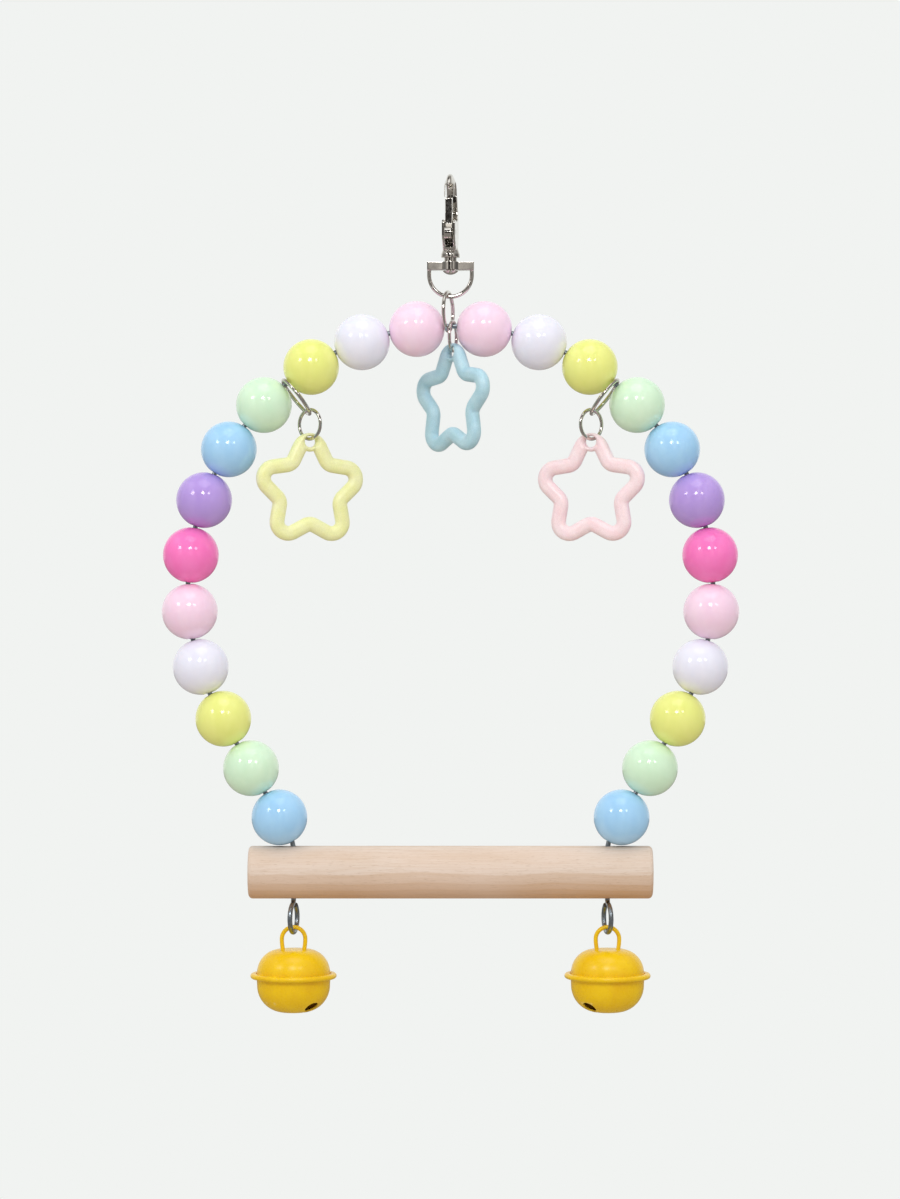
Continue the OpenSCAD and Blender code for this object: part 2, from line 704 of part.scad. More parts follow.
module bell_upper(left) {
    color("#F0C832") bell_place(left) difference() {
        rotate_extrude() {
            shell_section(dome_h, dome_round);
            translate([bell_r - bell_sheet, 0]) square([rim_r - bell_r - bell_sheet / 2, bell_sheet]);
        }
        for (side = [-1, 1]) translate([side * loop_r, 0, dome_h / 2])
            cylinder(d = loop_wire + 2 * fit_gap, h = dome_h);
    }
}

// The lower shell's rim is folded round the upper shell's flange
module bell_lower(left) {
    fold_r = bell_sheet * 3 / 2;
    fold_x = rim_r - fold_r;
    color("#E8B81E") bell_place(left) difference() {
        rotate_extrude() {
            mirror([0, 1]) shell_section(bowl_h, bowl_round);
            translate([bell_r - bell_sheet, -bell_sheet]) square([fold_x - bell_r + bell_sheet, bell_sheet]);
            intersection() {
                translate([fold_x, bell_sheet / 2]) difference() {
                    circle(r = fold_r);
                    circle(r = bell_sheet / 2);
                }
                translate([fold_x, -bell_sheet]) square([fold_r, 3 * bell_sheet]);
            }
            translate([fold_x - rim_lip, bell_sheet]) square([rim_lip, bell_sheet]);
        }
        rotate([0, 0, slot_turn]) {
            slot_half = bell_r - bowl_round * (1 - sin(slot_hole_angle));
            slot_rise = bowl_round * (1 - cos(slot_hole_angle)) + 2 * bell_sheet;
            translate([-slot_half, -slot_w / 2, -bowl_h - over])
                cube([2 * slot_half, slot_w, slot_rise + over]);
            for (side = [-1, 1]) translate([side * (bell_r - bowl_round), 0, bowl_round - bowl_h])
                rotate([0, 180 - side * slot_hole_angle, 0])
                    translate([0, 0, bowl_round / 2]) cylinder(d = slot_hole_d, h = bell_r);
        }
    }
}

module bell_loop(left) {
    bend_z = loop_top_z - loop_r - rim_z;
    clinch_z = dome_h - bell_sheet - fit_gap - loop_wire / 4;
    color("#E9C034") bell_place(left) {
        translate([0, 0, bend_z]) wire_bend(loop_r, 0, 180, loop_wire);
        for (side = [0, 1]) mirror([side, 0, 0]) {
            translate([loop_r, 0, clinch_z]) cylinder(d = loop_wire, h = bend_z - clinch_z);
            translate([loop_r + clinch_r, 0, clinch_z]) wire_bend(clinch_r, 180, clinch_turn, loop_wire);
        }
    }
}

module bell_pellet(left) {
    color("#8C8F92") on_side(left) translate([shank_x, 0, pellet_z]) sphere(d = pellet_d);
}

hook_body();
hook_gate();
gate_pin();
gate_spring();
swivel_rivet();
swivel_ring();
hanger_ring();
arch_wire();
perch();
link_ring(true);  // link_ring_left
link_ring(false);  // link_ring_right
star_ring(true);  // star_ring_left
star_ring(false);  // star_ring_right
star_ring_top();
star_left();
star_right();
star_top();
bell_upper(true);  // bell_upper_left
bell_upper(false);  // bell_upper_right
bell_lower(true);  // bell_lower_left
bell_lower(false);  // bell_lower_right
bell_loop(true);  // bell_loop_left
bell_loop(false);  // bell_loop_right
bell_pellet(true);  // bell_pellet_left
bell_pellet(false);  // bell_pellet_right
for (i = [1:bead_count]) {
    bead(i, true);
    bead(i, false);
}
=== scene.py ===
"""Dresses the bird swing: plated fittings, moulded beads and stars, enamelled bells, turned perch.

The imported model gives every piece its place. Each sub-assembly below is a class that builds finer
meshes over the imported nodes, gives them the finish of the real material and hangs them on the body
that carries them. The studio class sets the camera, the lamps and the pale surroundings.
"""
import json
import logging
import math
from dataclasses import dataclass, field
from enum import Enum
from typing import Sequence

import bmesh
import bpy
from mathutils import Matrix, Vector

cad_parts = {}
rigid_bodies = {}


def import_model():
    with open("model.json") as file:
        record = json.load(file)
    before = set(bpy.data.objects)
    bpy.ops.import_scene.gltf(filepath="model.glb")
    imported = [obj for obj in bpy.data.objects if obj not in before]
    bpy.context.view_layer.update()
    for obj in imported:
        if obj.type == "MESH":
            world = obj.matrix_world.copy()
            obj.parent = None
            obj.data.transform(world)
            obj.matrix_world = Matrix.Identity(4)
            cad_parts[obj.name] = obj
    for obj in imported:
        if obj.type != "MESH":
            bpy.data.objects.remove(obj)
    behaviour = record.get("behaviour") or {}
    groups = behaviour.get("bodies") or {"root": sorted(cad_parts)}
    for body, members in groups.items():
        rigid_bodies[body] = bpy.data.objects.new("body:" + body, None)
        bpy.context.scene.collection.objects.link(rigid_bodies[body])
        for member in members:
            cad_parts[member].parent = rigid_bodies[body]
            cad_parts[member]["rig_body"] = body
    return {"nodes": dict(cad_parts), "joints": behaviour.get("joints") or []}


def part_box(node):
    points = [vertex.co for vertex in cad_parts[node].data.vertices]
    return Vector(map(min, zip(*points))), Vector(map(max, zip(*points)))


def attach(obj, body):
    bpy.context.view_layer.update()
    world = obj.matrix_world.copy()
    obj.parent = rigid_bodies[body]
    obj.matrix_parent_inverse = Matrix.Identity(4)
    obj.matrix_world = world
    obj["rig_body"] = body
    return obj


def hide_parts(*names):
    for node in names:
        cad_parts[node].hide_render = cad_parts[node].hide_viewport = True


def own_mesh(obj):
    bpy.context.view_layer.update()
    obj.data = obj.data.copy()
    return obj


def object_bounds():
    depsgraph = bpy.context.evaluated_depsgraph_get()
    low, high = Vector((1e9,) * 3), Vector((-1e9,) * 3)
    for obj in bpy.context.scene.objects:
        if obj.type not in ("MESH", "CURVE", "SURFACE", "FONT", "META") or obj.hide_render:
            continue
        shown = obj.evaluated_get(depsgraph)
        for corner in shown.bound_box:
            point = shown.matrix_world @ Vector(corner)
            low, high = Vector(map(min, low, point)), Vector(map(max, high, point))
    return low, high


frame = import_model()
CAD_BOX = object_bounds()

Tree = bpy.types.NodeTree
Socket = bpy.types.NodeSocket
Source = Socket | float | str | Sequence[float]
Inputs = dict[str | int, Source]
Object = bpy.types.Object
Outline = list[tuple[float, float]]

LOG = logging.getLogger("bird_swing")
JOINTS = {joint["name"]: joint for joint in frame["joints"]}
MM = 0.001
UP = Vector((0, 0, 1))
# Points of a mesh that lie closer than this are one
WELD_MM = 0.0008
# Edges that turn by more than this stay hard
SHARP_DEG = 42.0
# A cut wire's end face keeps this share of its width, and its edge lies this many radii back
CUT_FACE = 0.78
CUT_EDGE = 0.2


class Side(Enum):
    """The two mirrored sides of the swing."""

    LEFT = -1
    RIGHT = 1

    @property
    def word(self) -> str:
        """The side's name as the nodes and bodies spell it."""
        return self.name.lower()


class Joinery(Enum):
    """What a closed shape does to the piece that it meets."""

    CUT = "DIFFERENCE"
    MELT = "UNION"


class Ray(Enum):
    """Kinds of ray that see surroundings of their own."""

    CAMERA = "Is Camera Ray"
    GLOSSY = "Is Glossy Ray"
    TRANSMISSION = "Is Transmission Ray"


def linear(hex_code: str) -> tuple[float, float, float, float]:
    """Turns an sRGB hex colour into the linear colour that a shader takes.

    Args:
        hex_code: Six hex digits.

    Returns:
        Linear red, green, blue and an alpha of one.
    """
    channels = [int(hex_code[i:i + 2], 16) / 255 for i in (0, 2, 4)]
    curve = [c / 12.92 if c <= 0.04045 else ((c + 0.055) / 1.055) ** 2.4 for c in channels]
    return (*curve, 1.0)


def plug(tree: Tree, node: bpy.types.Node, inputs: Inputs) -> None:
    """Gives a node's sockets what they take.

    Args:
        tree: The node tree.
        node: The node.
        inputs: Socket names or numbers, and a constant, a hex colour or an output for each.
    """
    for key, source in inputs.items():
        if isinstance(source, Socket):
            tree.links.new(source, node.inputs[key])
        else:
            node.inputs[key].default_value = linear(source) if isinstance(source, str) else source


def add(tree: Tree, kind: str, inputs: Inputs, out: str | int = 0,
        stops: Sequence[tuple[float, str]] = (), **settings: str) -> Socket:
    """Adds a node with its settings and links.

    Args:
        tree: The node tree.
        kind: The node's type, without ShaderNode.
        inputs: Socket names or numbers, and what each takes.
        out: Name or number of the output that is wanted.
        stops: Positions and hex colours of a run of colours, in rising order.
        **settings: Properties of the node itself.

    Returns:
        That output.
    """
    node = tree.nodes.new(f"ShaderNode{kind}")
    for key, value in settings.items():
        setattr(node, key, value)
    if stops:
        elements = node.color_ramp.elements
        while len(elements) < len(stops):
            elements.new(0.5)
        for element, (position, code) in zip(elements, stops):
            element.position, element.color = position, linear(code)
    plug(tree, node, inputs)
    return node.outputs[out]


def pattern(tree: Tree, size_mm: float, to: tuple[float, float] | None = None,
            of: tuple[float, float] = (0.3, 0.7), stretch: tuple[float, float, float] = (1, 1, 1),
            detail: float = 3.0, roughness: float = 0.5) -> Socket:
    """Makes random patches that measure a real size.

    Args:
        tree: The node tree.
        size_mm: Width of a patch.
        to: Range to stretch the value over, or None to leave the value as it is.
        of: Part of the value's own range that is stretched.
        stretch: How many times longer than wide the patches are along each axis.
        detail: Number of finer layers.
        roughness: Weight of the finer layers.

    Returns:
        The value.
    """
    scale = [1 / (size_mm * MM * part) for part in stretch]
    spot = add(tree, "Mapping", {"Vector": add(tree, "TexCoord", {}, "Object"), "Scale": scale})
    value = add(tree, "TexNoise", {"Vector": spot, "Scale": 1.0, "Detail": detail,
                                   "Roughness": roughness}, "Fac")
    if to is None:
        return value
    return add(tree, "MapRange", {"Value": value, "From Min": of[0], "From Max": of[1],
                                  "To Min": to[0], "To Max": to[1]})


def layered(tree: Tree, base: Source, *layers: tuple[Source, Source]) -> Source:
    """Lays colours over a base, each through its own mask.

    Args:
        tree: The node tree.
        base: The colour below.
        *layers: Mask and colour of each layer.

    Returns:
        The colour that shows.
    """
    for mask, over in layers:
        # A mix takes its colours on sockets 6 and 7, and gives the result on output 2
        base = add(tree, "Mix", {0: mask, 6: base, 7: over}, 2, data_type="RGBA")
    return base


@dataclass(frozen=True)
class Finish:
    """A surface: the material it is made of and how it was worked."""

    name: str

    def material(self) -> bpy.types.Material:
        """Builds the material once, and gives the same one after that.

        Returns:
            The material.
        """
        made = bpy.data.materials.get(self.name)
        if not made:
            made = bpy.data.materials.new(self.name)
            made.use_nodes = True
            tree = made.node_tree
            plug(tree, tree.nodes["Principled BSDF"], self.sockets(tree))
        return made

    def sockets(self, tree: Tree) -> Inputs:
        """What the shader's sockets take. Each finish has its own."""
        raise NotImplementedError


@dataclass(frozen=True)
class MouldedBead(Finish):
    """Glossy injection-moulded polystyrene. A clean, hard shine with small sharp highlights."""

    colour: str
    shade: str

    def sockets(self, tree: Tree) -> Inputs:
        """Adds faint flow marks in the colour and a barely uneven, polished skin.

        Args:
            tree: The material's node tree.

        Returns:
            What the shader's sockets take.
        """
        # Pigment streaks of 5 mm, as the melt folds in the mould
        streaks = pattern(tree, 5, (0, 1), stretch=(1, 1, 2.4))
        # Handling leaves a fine haze of 0.7 mm patches
        haze = pattern(tree, 0.7, (0.07, 0.14), detail=2)
        # Sink of the skin over 2.5 mm, a few microns deep
        sink = {"Height": pattern(tree, 2.5, detail=1), "Distance": 0.006 * MM}
        return {"IOR": 1.59, "Subsurface Weight": 0.12, "Subsurface Radius": (1.0, 0.8, 0.7),
                "Subsurface Scale": 1.2 * MM, "Roughness": haze, "Normal": add(tree, "Bump", sink),
                "Base Color": layered(tree, self.colour, (streaks, self.shade))}


@dataclass(frozen=True)
class PearlStar(Finish):
    """Soft moulded ABS with pearl pigment. A satin glow, brighter on the crown of the tube."""

    colour: str
    pearl: str

    def sockets(self, tree: Tree) -> Inputs:
        """Adds pearl swirls, mica flakes and a satin skin.

        Args:
            tree: The material's node tree.

        Returns:
            What the shader's sockets take.
        """
        # Pearl pigment lines up in swirls about 4 mm across
        swirl = pattern(tree, 4, (0, 1), detail=4, roughness=0.6)
        colour = layered(tree, self.colour, (swirl, self.pearl))
        # Mica flakes are 0.05 mm; they are drawn at 0.25 mm so that they show
        flakes = pattern(tree, 0.25, (0.94, 1.03), detail=0)
        glint = add(tree, "CombineColor", {0: flakes, 1: flakes, 2: flakes})
        colour = add(tree, "Mix", {0: 1.0, 6: colour, 7: glint}, 2, data_type="RGBA",
                     blend_type="MULTIPLY")
        # The skin is uneven over 1.8 mm, and its satin varies over 1.1 mm
        skin = {"Height": pattern(tree, 1.8, detail=2), "Distance": 0.012 * MM}
        return {"IOR": 1.54, "Subsurface Weight": 0.35, "Subsurface Radius": (1.0, 0.9, 0.8),
                "Subsurface Scale": 1.6 * MM, "Coat Weight": 0.25, "Coat Roughness": 0.28,
                "Base Color": colour, "Roughness": pattern(tree, 1.1, (0.3, 0.42)),
                "Normal": add(tree, "Bump", skin)}


@dataclass(frozen=True)
class PlatedMetal(Finish):
    """Bright nickel plate. A warm mirror that keeps the waves and scratches of what lies below."""

    colour: str = "DEDAD3"
    worn: str = "BFB8AC"
    wave_mm: float = 4.0
    wave_depth_mm: float = 0.12
    gloss: tuple[float, float] = (0.06, 0.16)
    scratch: tuple[float, float, float] = (1, 1, 14)

    def sockets(self, tree: Tree) -> Inputs:
        """Adds the waviness, hairline scratches, a dulled film and wear on the proud edges.

        Args:
            tree: The material's node tree.

        Returns:
            What the shader's sockets take.
        """
        # A film of handling in 1.6 mm patches
        film = pattern(tree, 1.6, (0, 1), detail=5, roughness=0.65)
        edges = add(tree, "NewGeometry", {}, "Pointiness")
        proud = add(tree, "MapRange", {"Value": edges, "From Min": 0.52, "From Max": 0.6,
                                       "To Max": 0.5})
        wear = add(tree, "Math", {0: proud, 1: film}, operation="MULTIPLY")
        # Hairlines are 0.02 mm wide; they are drawn at 0.09 mm so that they show
        hairs = pattern(tree, 0.09, (0, 1), (0.55, 0.75), self.scratch, detail=2)
        low, high = self.gloss
        rough = add(tree, "MapRange", {"Value": film, "To Min": low, "To Max": high})
        rough = add(tree, "Math", {0: hairs, 1: 0.06, 2: rough}, operation="MULTIPLY_ADD")
        wave = add(tree, "Bump", {"Height": pattern(tree, self.wave_mm, detail=1),
                                  "Distance": self.wave_depth_mm * MM})
        cut = {"Height": hairs, "Distance": 0.0015 * MM, "Normal": wave}
        return {"Metallic": 1.0, "Base Color": layered(tree, self.colour, (wear, self.worn)),
                "Roughness": rough, "Normal": add(tree, "Bump", cut)}


@dataclass(frozen=True)
class GalvanisedWire(Finish):
    """Drawn steel wire with a zinc coat. A cool, soft metal grey with small crystal patches."""

    colour: str = "AEB8BF"
    spangle: str = "8E9AA3"

    def sockets(self, tree: Tree) -> Inputs:
        """Adds the zinc's spangle, die lines along the wire and a grey bloom.

        Args:
            tree: The material's node tree.

        Returns:
            What the shader's sockets take.
        """
        # Zinc crystals about 0.8 mm across
        crystal = add(tree, "TexVoronoi", {"Vector": add(tree, "TexCoord", {}, "Object"),
                                           "Scale": 1 / (0.8 * MM)}, "Color")
        tone = add(tree, "SeparateColor", {0: crystal})
        # The bloom lies in patches of 1.4 mm
        bloom = pattern(tree, 1.4, (0.24, 0.42), detail=4)
        # Die lines are 0.03 mm wide; they are drawn at 0.15 mm so that they show
        lines = pattern(tree, 0.15, stretch=(1, 1, 10), detail=2)
        return {"Metallic": 1.0, "Base Color": layered(tree, self.colour, (tone, self.spangle)),
                "Roughness": bloom,
                "Normal": add(tree, "Bump", {"Height": lines, "Distance": 0.004 * MM})}


@dataclass(frozen=True)
class SandedBirch(Finish):
    """Bare birch dowel, turned and sanded. Dry and matt, with fine long grain and closed pores."""

    axis_z: float
    light: str = "E8DCD2"
    body: str = "DECCBC"
    late: str = "CBAA88"
    # Warm heartwood tint that is also painted shade along the dowel's lower side
    heartwood: str = "CB9252"
    fleck: str = "A98560"
    blush: str = "E6CFBE"
    ring_mm: float = 1.9

    def sockets(self, tree: Tree) -> Inputs:
        """Adds growth rings about an axis outside the dowel, fibres, flecks, sanding lines and
        painted shade on the lower side.

        Args:
            tree: The material's node tree.

        Returns:
            What the shader's sockets take.
        """
        spot = add(tree, "TexCoord", {}, "Object")
        # The tree's heart lies 38 mm off the dowel's own axis, and the rings sway over 46 mm
        heart = (0.0, 31 * MM, self.axis_z - 22 * MM)
        sway = add(tree, "TexNoise", {"Vector": spot, "Scale": 1 / (46 * MM), "Detail": 2.0},
                   "Color")
        push = add(tree, "VectorMath", {0: sway, 1: (0.0, 3.2 * MM, 3.2 * MM)},
                   operation="MULTIPLY")
        centred = add(tree, "VectorMath", {0: spot, 1: heart}, operation="SUBTRACT")
        bent = add(tree, "VectorMath", {0: centred, 1: push})
        # The wave's own period is 2 pi / 20 of a unit
        ring_scale = math.tau / 20 / (self.ring_mm * MM)
        rings = add(tree, "TexWave", {"Vector": bent, "Scale": ring_scale, "Distortion": 1.1,
                                      "Detail": 2.0, "Detail Scale": 0.6}, "Fac",
                    wave_type="RINGS", rings_direction="X", wave_profile="SAW")
        grain = add(tree, "ValToRGB", {"Fac": rings}, stops=(
            (0.0, self.light), (0.55, self.body), (0.9, self.late), (1.0, self.body)))
        # The lower side, towards the tree's heart, is warmer and darker: heartwood tint and painted
        # shade
        inner = add(tree, "SeparateXYZ", {0: bent}, "Z")
        heartwood_and_shade_mask = add(tree, "MapRange", {"Value": inner, "From Min": 15.0 * MM,
                                        "From Max": 24.5 * MM, "To Min": 0.9, "To Max": 0.0})
        # Fibres 0.35 mm wide and some 12 mm long
        fibre = pattern(tree, 0.35, stretch=(34, 1, 1), detail=4, roughness=0.6)
        lines = add(tree, "MapRange", {"Value": fibre, "From Min": 0.42, "From Max": 0.72,
                                       "To Max": 0.42})
        dry = add(tree, "MapRange", {"Value": fibre, "From Min": 0.3, "From Max": 0.7,
                                     "To Min": 0.52, "To Max": 0.72})
        # Pores are 0.07 mm wide; they are drawn as dark flecks of 0.16 by 2 mm so that they show
        pore = pattern(tree, 0.16, (0, 0.45), (0.62, 0.74), (13, 1, 1), detail=1)
        # Warm and pale patches 14 mm across
        patch = pattern(tree, 14, (0, 0.35), stretch=(2.5, 1, 1), detail=2)
        # The rings show at a third of their strength, as on a pale, sanded dowel
        colour = layered(tree, self.body, (0.34, grain), (heartwood_and_shade_mask, self.heartwood),
                         (lines, self.late), (pore, self.fleck), (patch, self.blush))
        grooves = add(tree, "Bump", {"Height": fibre, "Distance": 0.05 * MM, "Strength": 0.55})
        pits = {"Height": pore, "Distance": -0.03 * MM, "Strength": 0.6, "Normal": grooves}
        return {"IOR": 1.5, "Specular IOR Level": 0.32, "Base Color": colour, "Roughness": dry,
                "Normal": add(tree, "Bump", pits)}


@dataclass(frozen=True)
class BellEnamel(Finish):
    """Stoving enamel on pressed steel. A thick, soft gloss with a slight orange peel."""

    colour: str = "F5CC04"
    deep: str = "EDBE01"
    # Paler edge colour: thin film, and partly a painted highlight
    thin: str = "FBDD7A"

    def sockets(self, tree: Tree) -> Inputs:
        """Adds thin and thick spots, paler edges that are partly a painted highlight, the orange
        peel and a soft shine.

        Args:
            tree: The material's node tree.

        Returns:
            What the shader's sockets take.
        """
        # The coat runs in patches of 6 mm
        run = pattern(tree, 6, (0, 1), stretch=(1, 1, 1.6))
        # The film is thinner on the pressed edges, and their paler colour is partly a painted
        # highlight along the rim
        edges = add(tree, "NewGeometry", {}, "Pointiness")
        pressed = add(tree, "MapRange", {"Value": edges, "From Min": 0.52, "From Max": 0.62,
                                         "To Max": 0.6})
        # Orange peel of 1.6 mm, and a shine that varies over 1.3 mm
        peel = {"Height": pattern(tree, 1.6, detail=1), "Distance": 0.008 * MM}
        return {"IOR": 1.47, "Roughness": pattern(tree, 1.3, (0.25, 0.32)),
                "Base Color": layered(tree, self.colour, (run, self.deep), (pressed, self.thin)),
                "Normal": add(tree, "Bump", peel)}


@dataclass(frozen=True)
class TurnedSteel(Finish):
    """Turned or drawn steel, thinly nickelled. Duller than the castings, with lines round it."""

    colour: str = "B4AFA7"
    dull: str = "8F8A83"

    def sockets(self, tree: Tree) -> Inputs:
        """Adds the tool's fine lines and a patchy shine.

        Args:
            tree: The material's node tree.

        Returns:
            What the shader's sockets take.
        """
        # Dull patches of 0.9 mm
        tone = pattern(tree, 0.9, (0, 1), detail=4)
        # Tool marks 0.12 mm apart
        marks = {"Height": pattern(tree, 0.12, stretch=(12, 12, 1), detail=1),
                 "Distance": 0.003 * MM}
        return {"Metallic": 1.0, "Base Color": layered(tree, self.colour, (tone, self.dull)),
                "Roughness": add(tree, "MapRange", {"Value": tone, "To Min": 0.18, "To Max": 0.34}),
                "Normal": add(tree, "Bump", marks)}


class Palette:
    """Every finish on the swing but the perch's, which follows the perch's own axis."""

    casting = PlatedMetal("bright nickel on a zinc casting")
    wire = PlatedMetal("bright nickel on bent steel wire", wave_mm=1.4, wave_depth_mm=0.006,
                       scratch=(1, 9, 9))
    turned = TurnedSteel("thin nickel on turned steel")
    spring = TurnedSteel("drawn spring steel", "8E8D8C")
    galvanised = GalvanisedWire("zinc on drawn steel wire")
    enamel = BellEnamel("yellow stoving enamel on pressed steel")
    beads = (
        MouldedBead("pink moulded polystyrene", "FDE0F1", "FAD7EC"),
        MouldedBead("white moulded polystyrene", "F1F1FD", "EAEBFA"),
        MouldedBead("yellow moulded polystyrene", "F1F492", "EBF086"),
        MouldedBead("green moulded polystyrene", "DDF8DA", "D4F3D3"),
        MouldedBead("blue moulded polystyrene", "ADDAFA", "A3D2F6"),
        MouldedBead("purple moulded polystyrene", "BFA3E6", "B79AE1"),
        MouldedBead("magenta moulded polystyrene", "FF84C9", "FC78C1"),
    )
    stars = {
        "left": PearlStar("pearl yellow moulded plastic", "EFF1AA", "F5F6C2"),
        "right": PearlStar("pearl pink moulded plastic", "FBDCE0", "FDE8EA"),
        "top": PearlStar("pearl blue moulded plastic", "A9D2DF", "BFE0EA"),
    }


def put(name: str, data: bpy.types.ID) -> Object:
    """Adds an object to the scene.

    Args:
        name: Its name.
        data: Its mesh, lamp or camera.

    Returns:
        The object.
    """
    obj = bpy.data.objects.new(name, data)
    bpy.context.scene.collection.objects.link(obj)
    return obj


def tidy_mesh(mesh: bpy.types.Mesh) -> None:
    """Welds a mesh, drops flat slivers, turns its faces outward and keeps only true edges hard.

    Args:
        mesh: The mesh.
    """
    work = bmesh.new()
    work.from_mesh(mesh)
    bmesh.ops.remove_doubles(work, verts=work.verts, dist=WELD_MM * MM)
    bmesh.ops.dissolve_degenerate(work, edges=work.edges, dist=WELD_MM / 2 * MM)
    bmesh.ops.recalc_face_normals(work, faces=work.faces)
    for face in work.faces:
        face.smooth = True
    work.to_mesh(mesh)
    work.free()
    mesh.set_sharp_from_angle(angle=math.radians(SHARP_DEG))


@dataclass
class Shape:
    """A closed mesh under construction, in metres."""

    points: list[Vector] = field(default_factory=list)
    faces: list[tuple[int, ...]] = field(default_factory=list)

    def skin(self, rings: Sequence[list[Vector]], looped: bool = False) -> "Shape":
        """Joins rings of points into a tube.

        Args:
            rings: Closed rings with the same number of points.
            looped: Whether the last ring joins the first. If not, both get end faces.

        Returns:
            This shape.
        """
        count, total = len(rings[0]), len(rings)
        self.points = [p for ring in rings for p in ring]
        for k in range(total if looped else total - 1):
            a, b = k * count, (k + 1) % total * count
            self.faces += [(a + j, a + (j + 1) % count, b + (j + 1) % count, b + j)
                           for j in range(count)]
        if not looped:
            self.faces.append(tuple(range(count - 1, -1, -1)))
            self.faces.append(tuple(range((total - 1) * count, total * count)))
        return self

    def turn(self, outline: Outline, steps: int) -> "Shape":
        """Revolves a closed outline about Z.

        Args:
            outline: Radius and height of each point, in millimetres.
            steps: Number of steps round.

        Returns:
            This shape.
        """
        rings = [[Vector((r * math.cos(a), r * math.sin(a), z)) * MM for r, z in outline]
                 for a in (math.tau * k / steps for k in range(steps))]
        return self.skin(rings, looped=True)

    def wire(self, path: Sequence[Vector], radius: float, sides: int = 20) -> "Shape":
        """Sweeps a round wire along a path, with slightly dulled cut ends.

        Args:
            path: Points along the middle of the wire, in metres.
            radius: The wire's radius, in metres.
            sides: Number of points round the wire.

        Returns:
            This shape.
        """
        ways = [(path[min(i + 1, len(path) - 1)] - path[max(i - 1, 0)]).normalized()
                for i in range(len(path))]
        across = ways[0].orthogonal().normalized()
        rings = []
        for spot, way in zip(path, ways):
            across = (across - way * across.dot(way)).normalized()
            up = way.cross(across)
            rings.append([spot + radius * (math.cos(a) * across + math.sin(a) * up)
                          for a in (math.tau * k / sides for k in range(sides))])
        first = [path[0] + (p - path[0]) * CUT_FACE for p in rings[0]]
        last = [path[-1] + (p - path[-1]) * CUT_FACE for p in rings[-1]]
        rings[0] = [p + ways[0] * radius * CUT_EDGE for p in rings[0]]
        rings[-1] = [p - ways[-1] * radius * CUT_EDGE for p in rings[-1]]
        return self.skin([first, *rings, last])

    def make(self, name: str) -> Object:
        """Turns the shape into an object.

        Args:
            name: The object's name.

        Returns:
            The object, linked into the scene.
        """
        mesh = bpy.data.meshes.new(name)
        mesh.from_pydata(self.points, [], self.faces)
        tidy_mesh(mesh)
        return put(name, mesh)


def settle(obj: Object) -> None:
    """Bakes an object's modifiers into its mesh.

    Args:
        obj: The object.
    """
    seen = obj.evaluated_get(bpy.context.evaluated_depsgraph_get())
    mesh = bpy.data.meshes.new_from_object(seen)
    obj.modifiers.clear()
    obj.data = mesh


def combine(obj: Object, joinery: Joinery, others: Sequence[Object]) -> None:
    """Cuts closed shapes out of a piece or melts them into it, and removes them.

    Args:
        obj: The piece.
        joinery: What is done with the shapes.
        others: The shapes.
    """
    for other in others:
        step = obj.modifiers.new(joinery.name, "BOOLEAN")
        step.operation = joinery.value
        step.solver = "EXACT"
        step.object = other
    settle(obj)
    for other in others:
        bpy.data.objects.remove(other)


def soften(obj: Object, voxel_mm: float, passes: int) -> None:
    """Rounds every edge of a piece as a casting or moulding rounds it.

    Args:
        obj: The piece.
        voxel_mm: Size of the new mesh's faces.
        passes: Smoothing passes, each of which rounds the edges a little more.
    """
    skin = obj.modifiers.new("skin", "REMESH")
    skin.mode = "VOXEL"
    skin.voxel_size = voxel_mm * MM
    skin.use_smooth_shade = True
    rub = obj.modifiers.new("rub", "SMOOTH")
    rub.factor = 0.5
    rub.iterations = passes
    settle(obj)


def copy_of(node: str) -> Object:
    """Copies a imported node, welded and free to be worked on.

    Args:
        node: The node.

    Returns:
        The copy.
    """
    mesh = frame["nodes"][node].data.copy()
    mesh.materials.clear()
    tidy_mesh(mesh)
    return put(f"{node}_dressed", mesh)


def fit(obj: Object, node: str, finish: Finish) -> Object:
    """Puts a dressed piece in the place of its node.

    Args:
        obj: The piece, already where it belongs.
        node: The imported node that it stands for.
        finish: Its finish.

    Returns:
        The piece.
    """
    obj.data.materials.clear()
    obj.data.materials.append(finish.material())
    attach(obj, frame["nodes"][node]["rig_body"])
    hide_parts(node)
    return obj


def dress(node: str, finish: Finish) -> Object:
    """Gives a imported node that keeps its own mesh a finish.

    Args:
        node: The node.
        finish: Its finish.

    Returns:
        The node's object.
    """
    obj = frame["nodes"][node]
    for slot in obj.material_slots:
        slot.material = finish.material()
    return obj


def pivot(name: str) -> tuple[Vector, Vector]:
    """A point on a joint's axis, and the axis's direction."""
    joint = JOINTS[name]
    return Vector(joint["pos_m"]), Vector(joint["axis"])


def middle(node: str) -> tuple[Vector, Vector]:
    """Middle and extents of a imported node's box."""
    low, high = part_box(node)
    return (low + high) / 2, high - low


def arc(radius: float, start_deg: float, turn_deg: float, steps: int) -> Outline:
    """Makes points on an arc about the origin.

    Args:
        radius: The arc's radius.
        start_deg: Angle of the first point.
        turn_deg: Angle that the arc spans.
        steps: Number of steps.

    Returns:
        The points, ends included.
    """
    return [(radius * math.cos(a), radius * math.sin(a))
            for a in (math.radians(start_deg + turn_deg * i / steps) for i in range(steps + 1))]


def placed(outline: Outline, x: float = 0.0, y: float = 0.0) -> Outline:
    """Shifts an outline's points."""
    return [(px + x, py + y) for px, py in outline]


def mirrored(outline: Outline) -> Outline:
    """An outline's points in the other half, in the opposite order."""
    return [(r, -z) for r, z in reversed(outline)]


def drill(radius: float, low: float, high: float, steps: int) -> Object:
    """A round cutter about Z, from one height to another, in millimetres."""
    outline = [(0.0, low), (radius, low), (radius, high), (0.0, high)]
    return Shape().turn(outline, steps).make("drill")


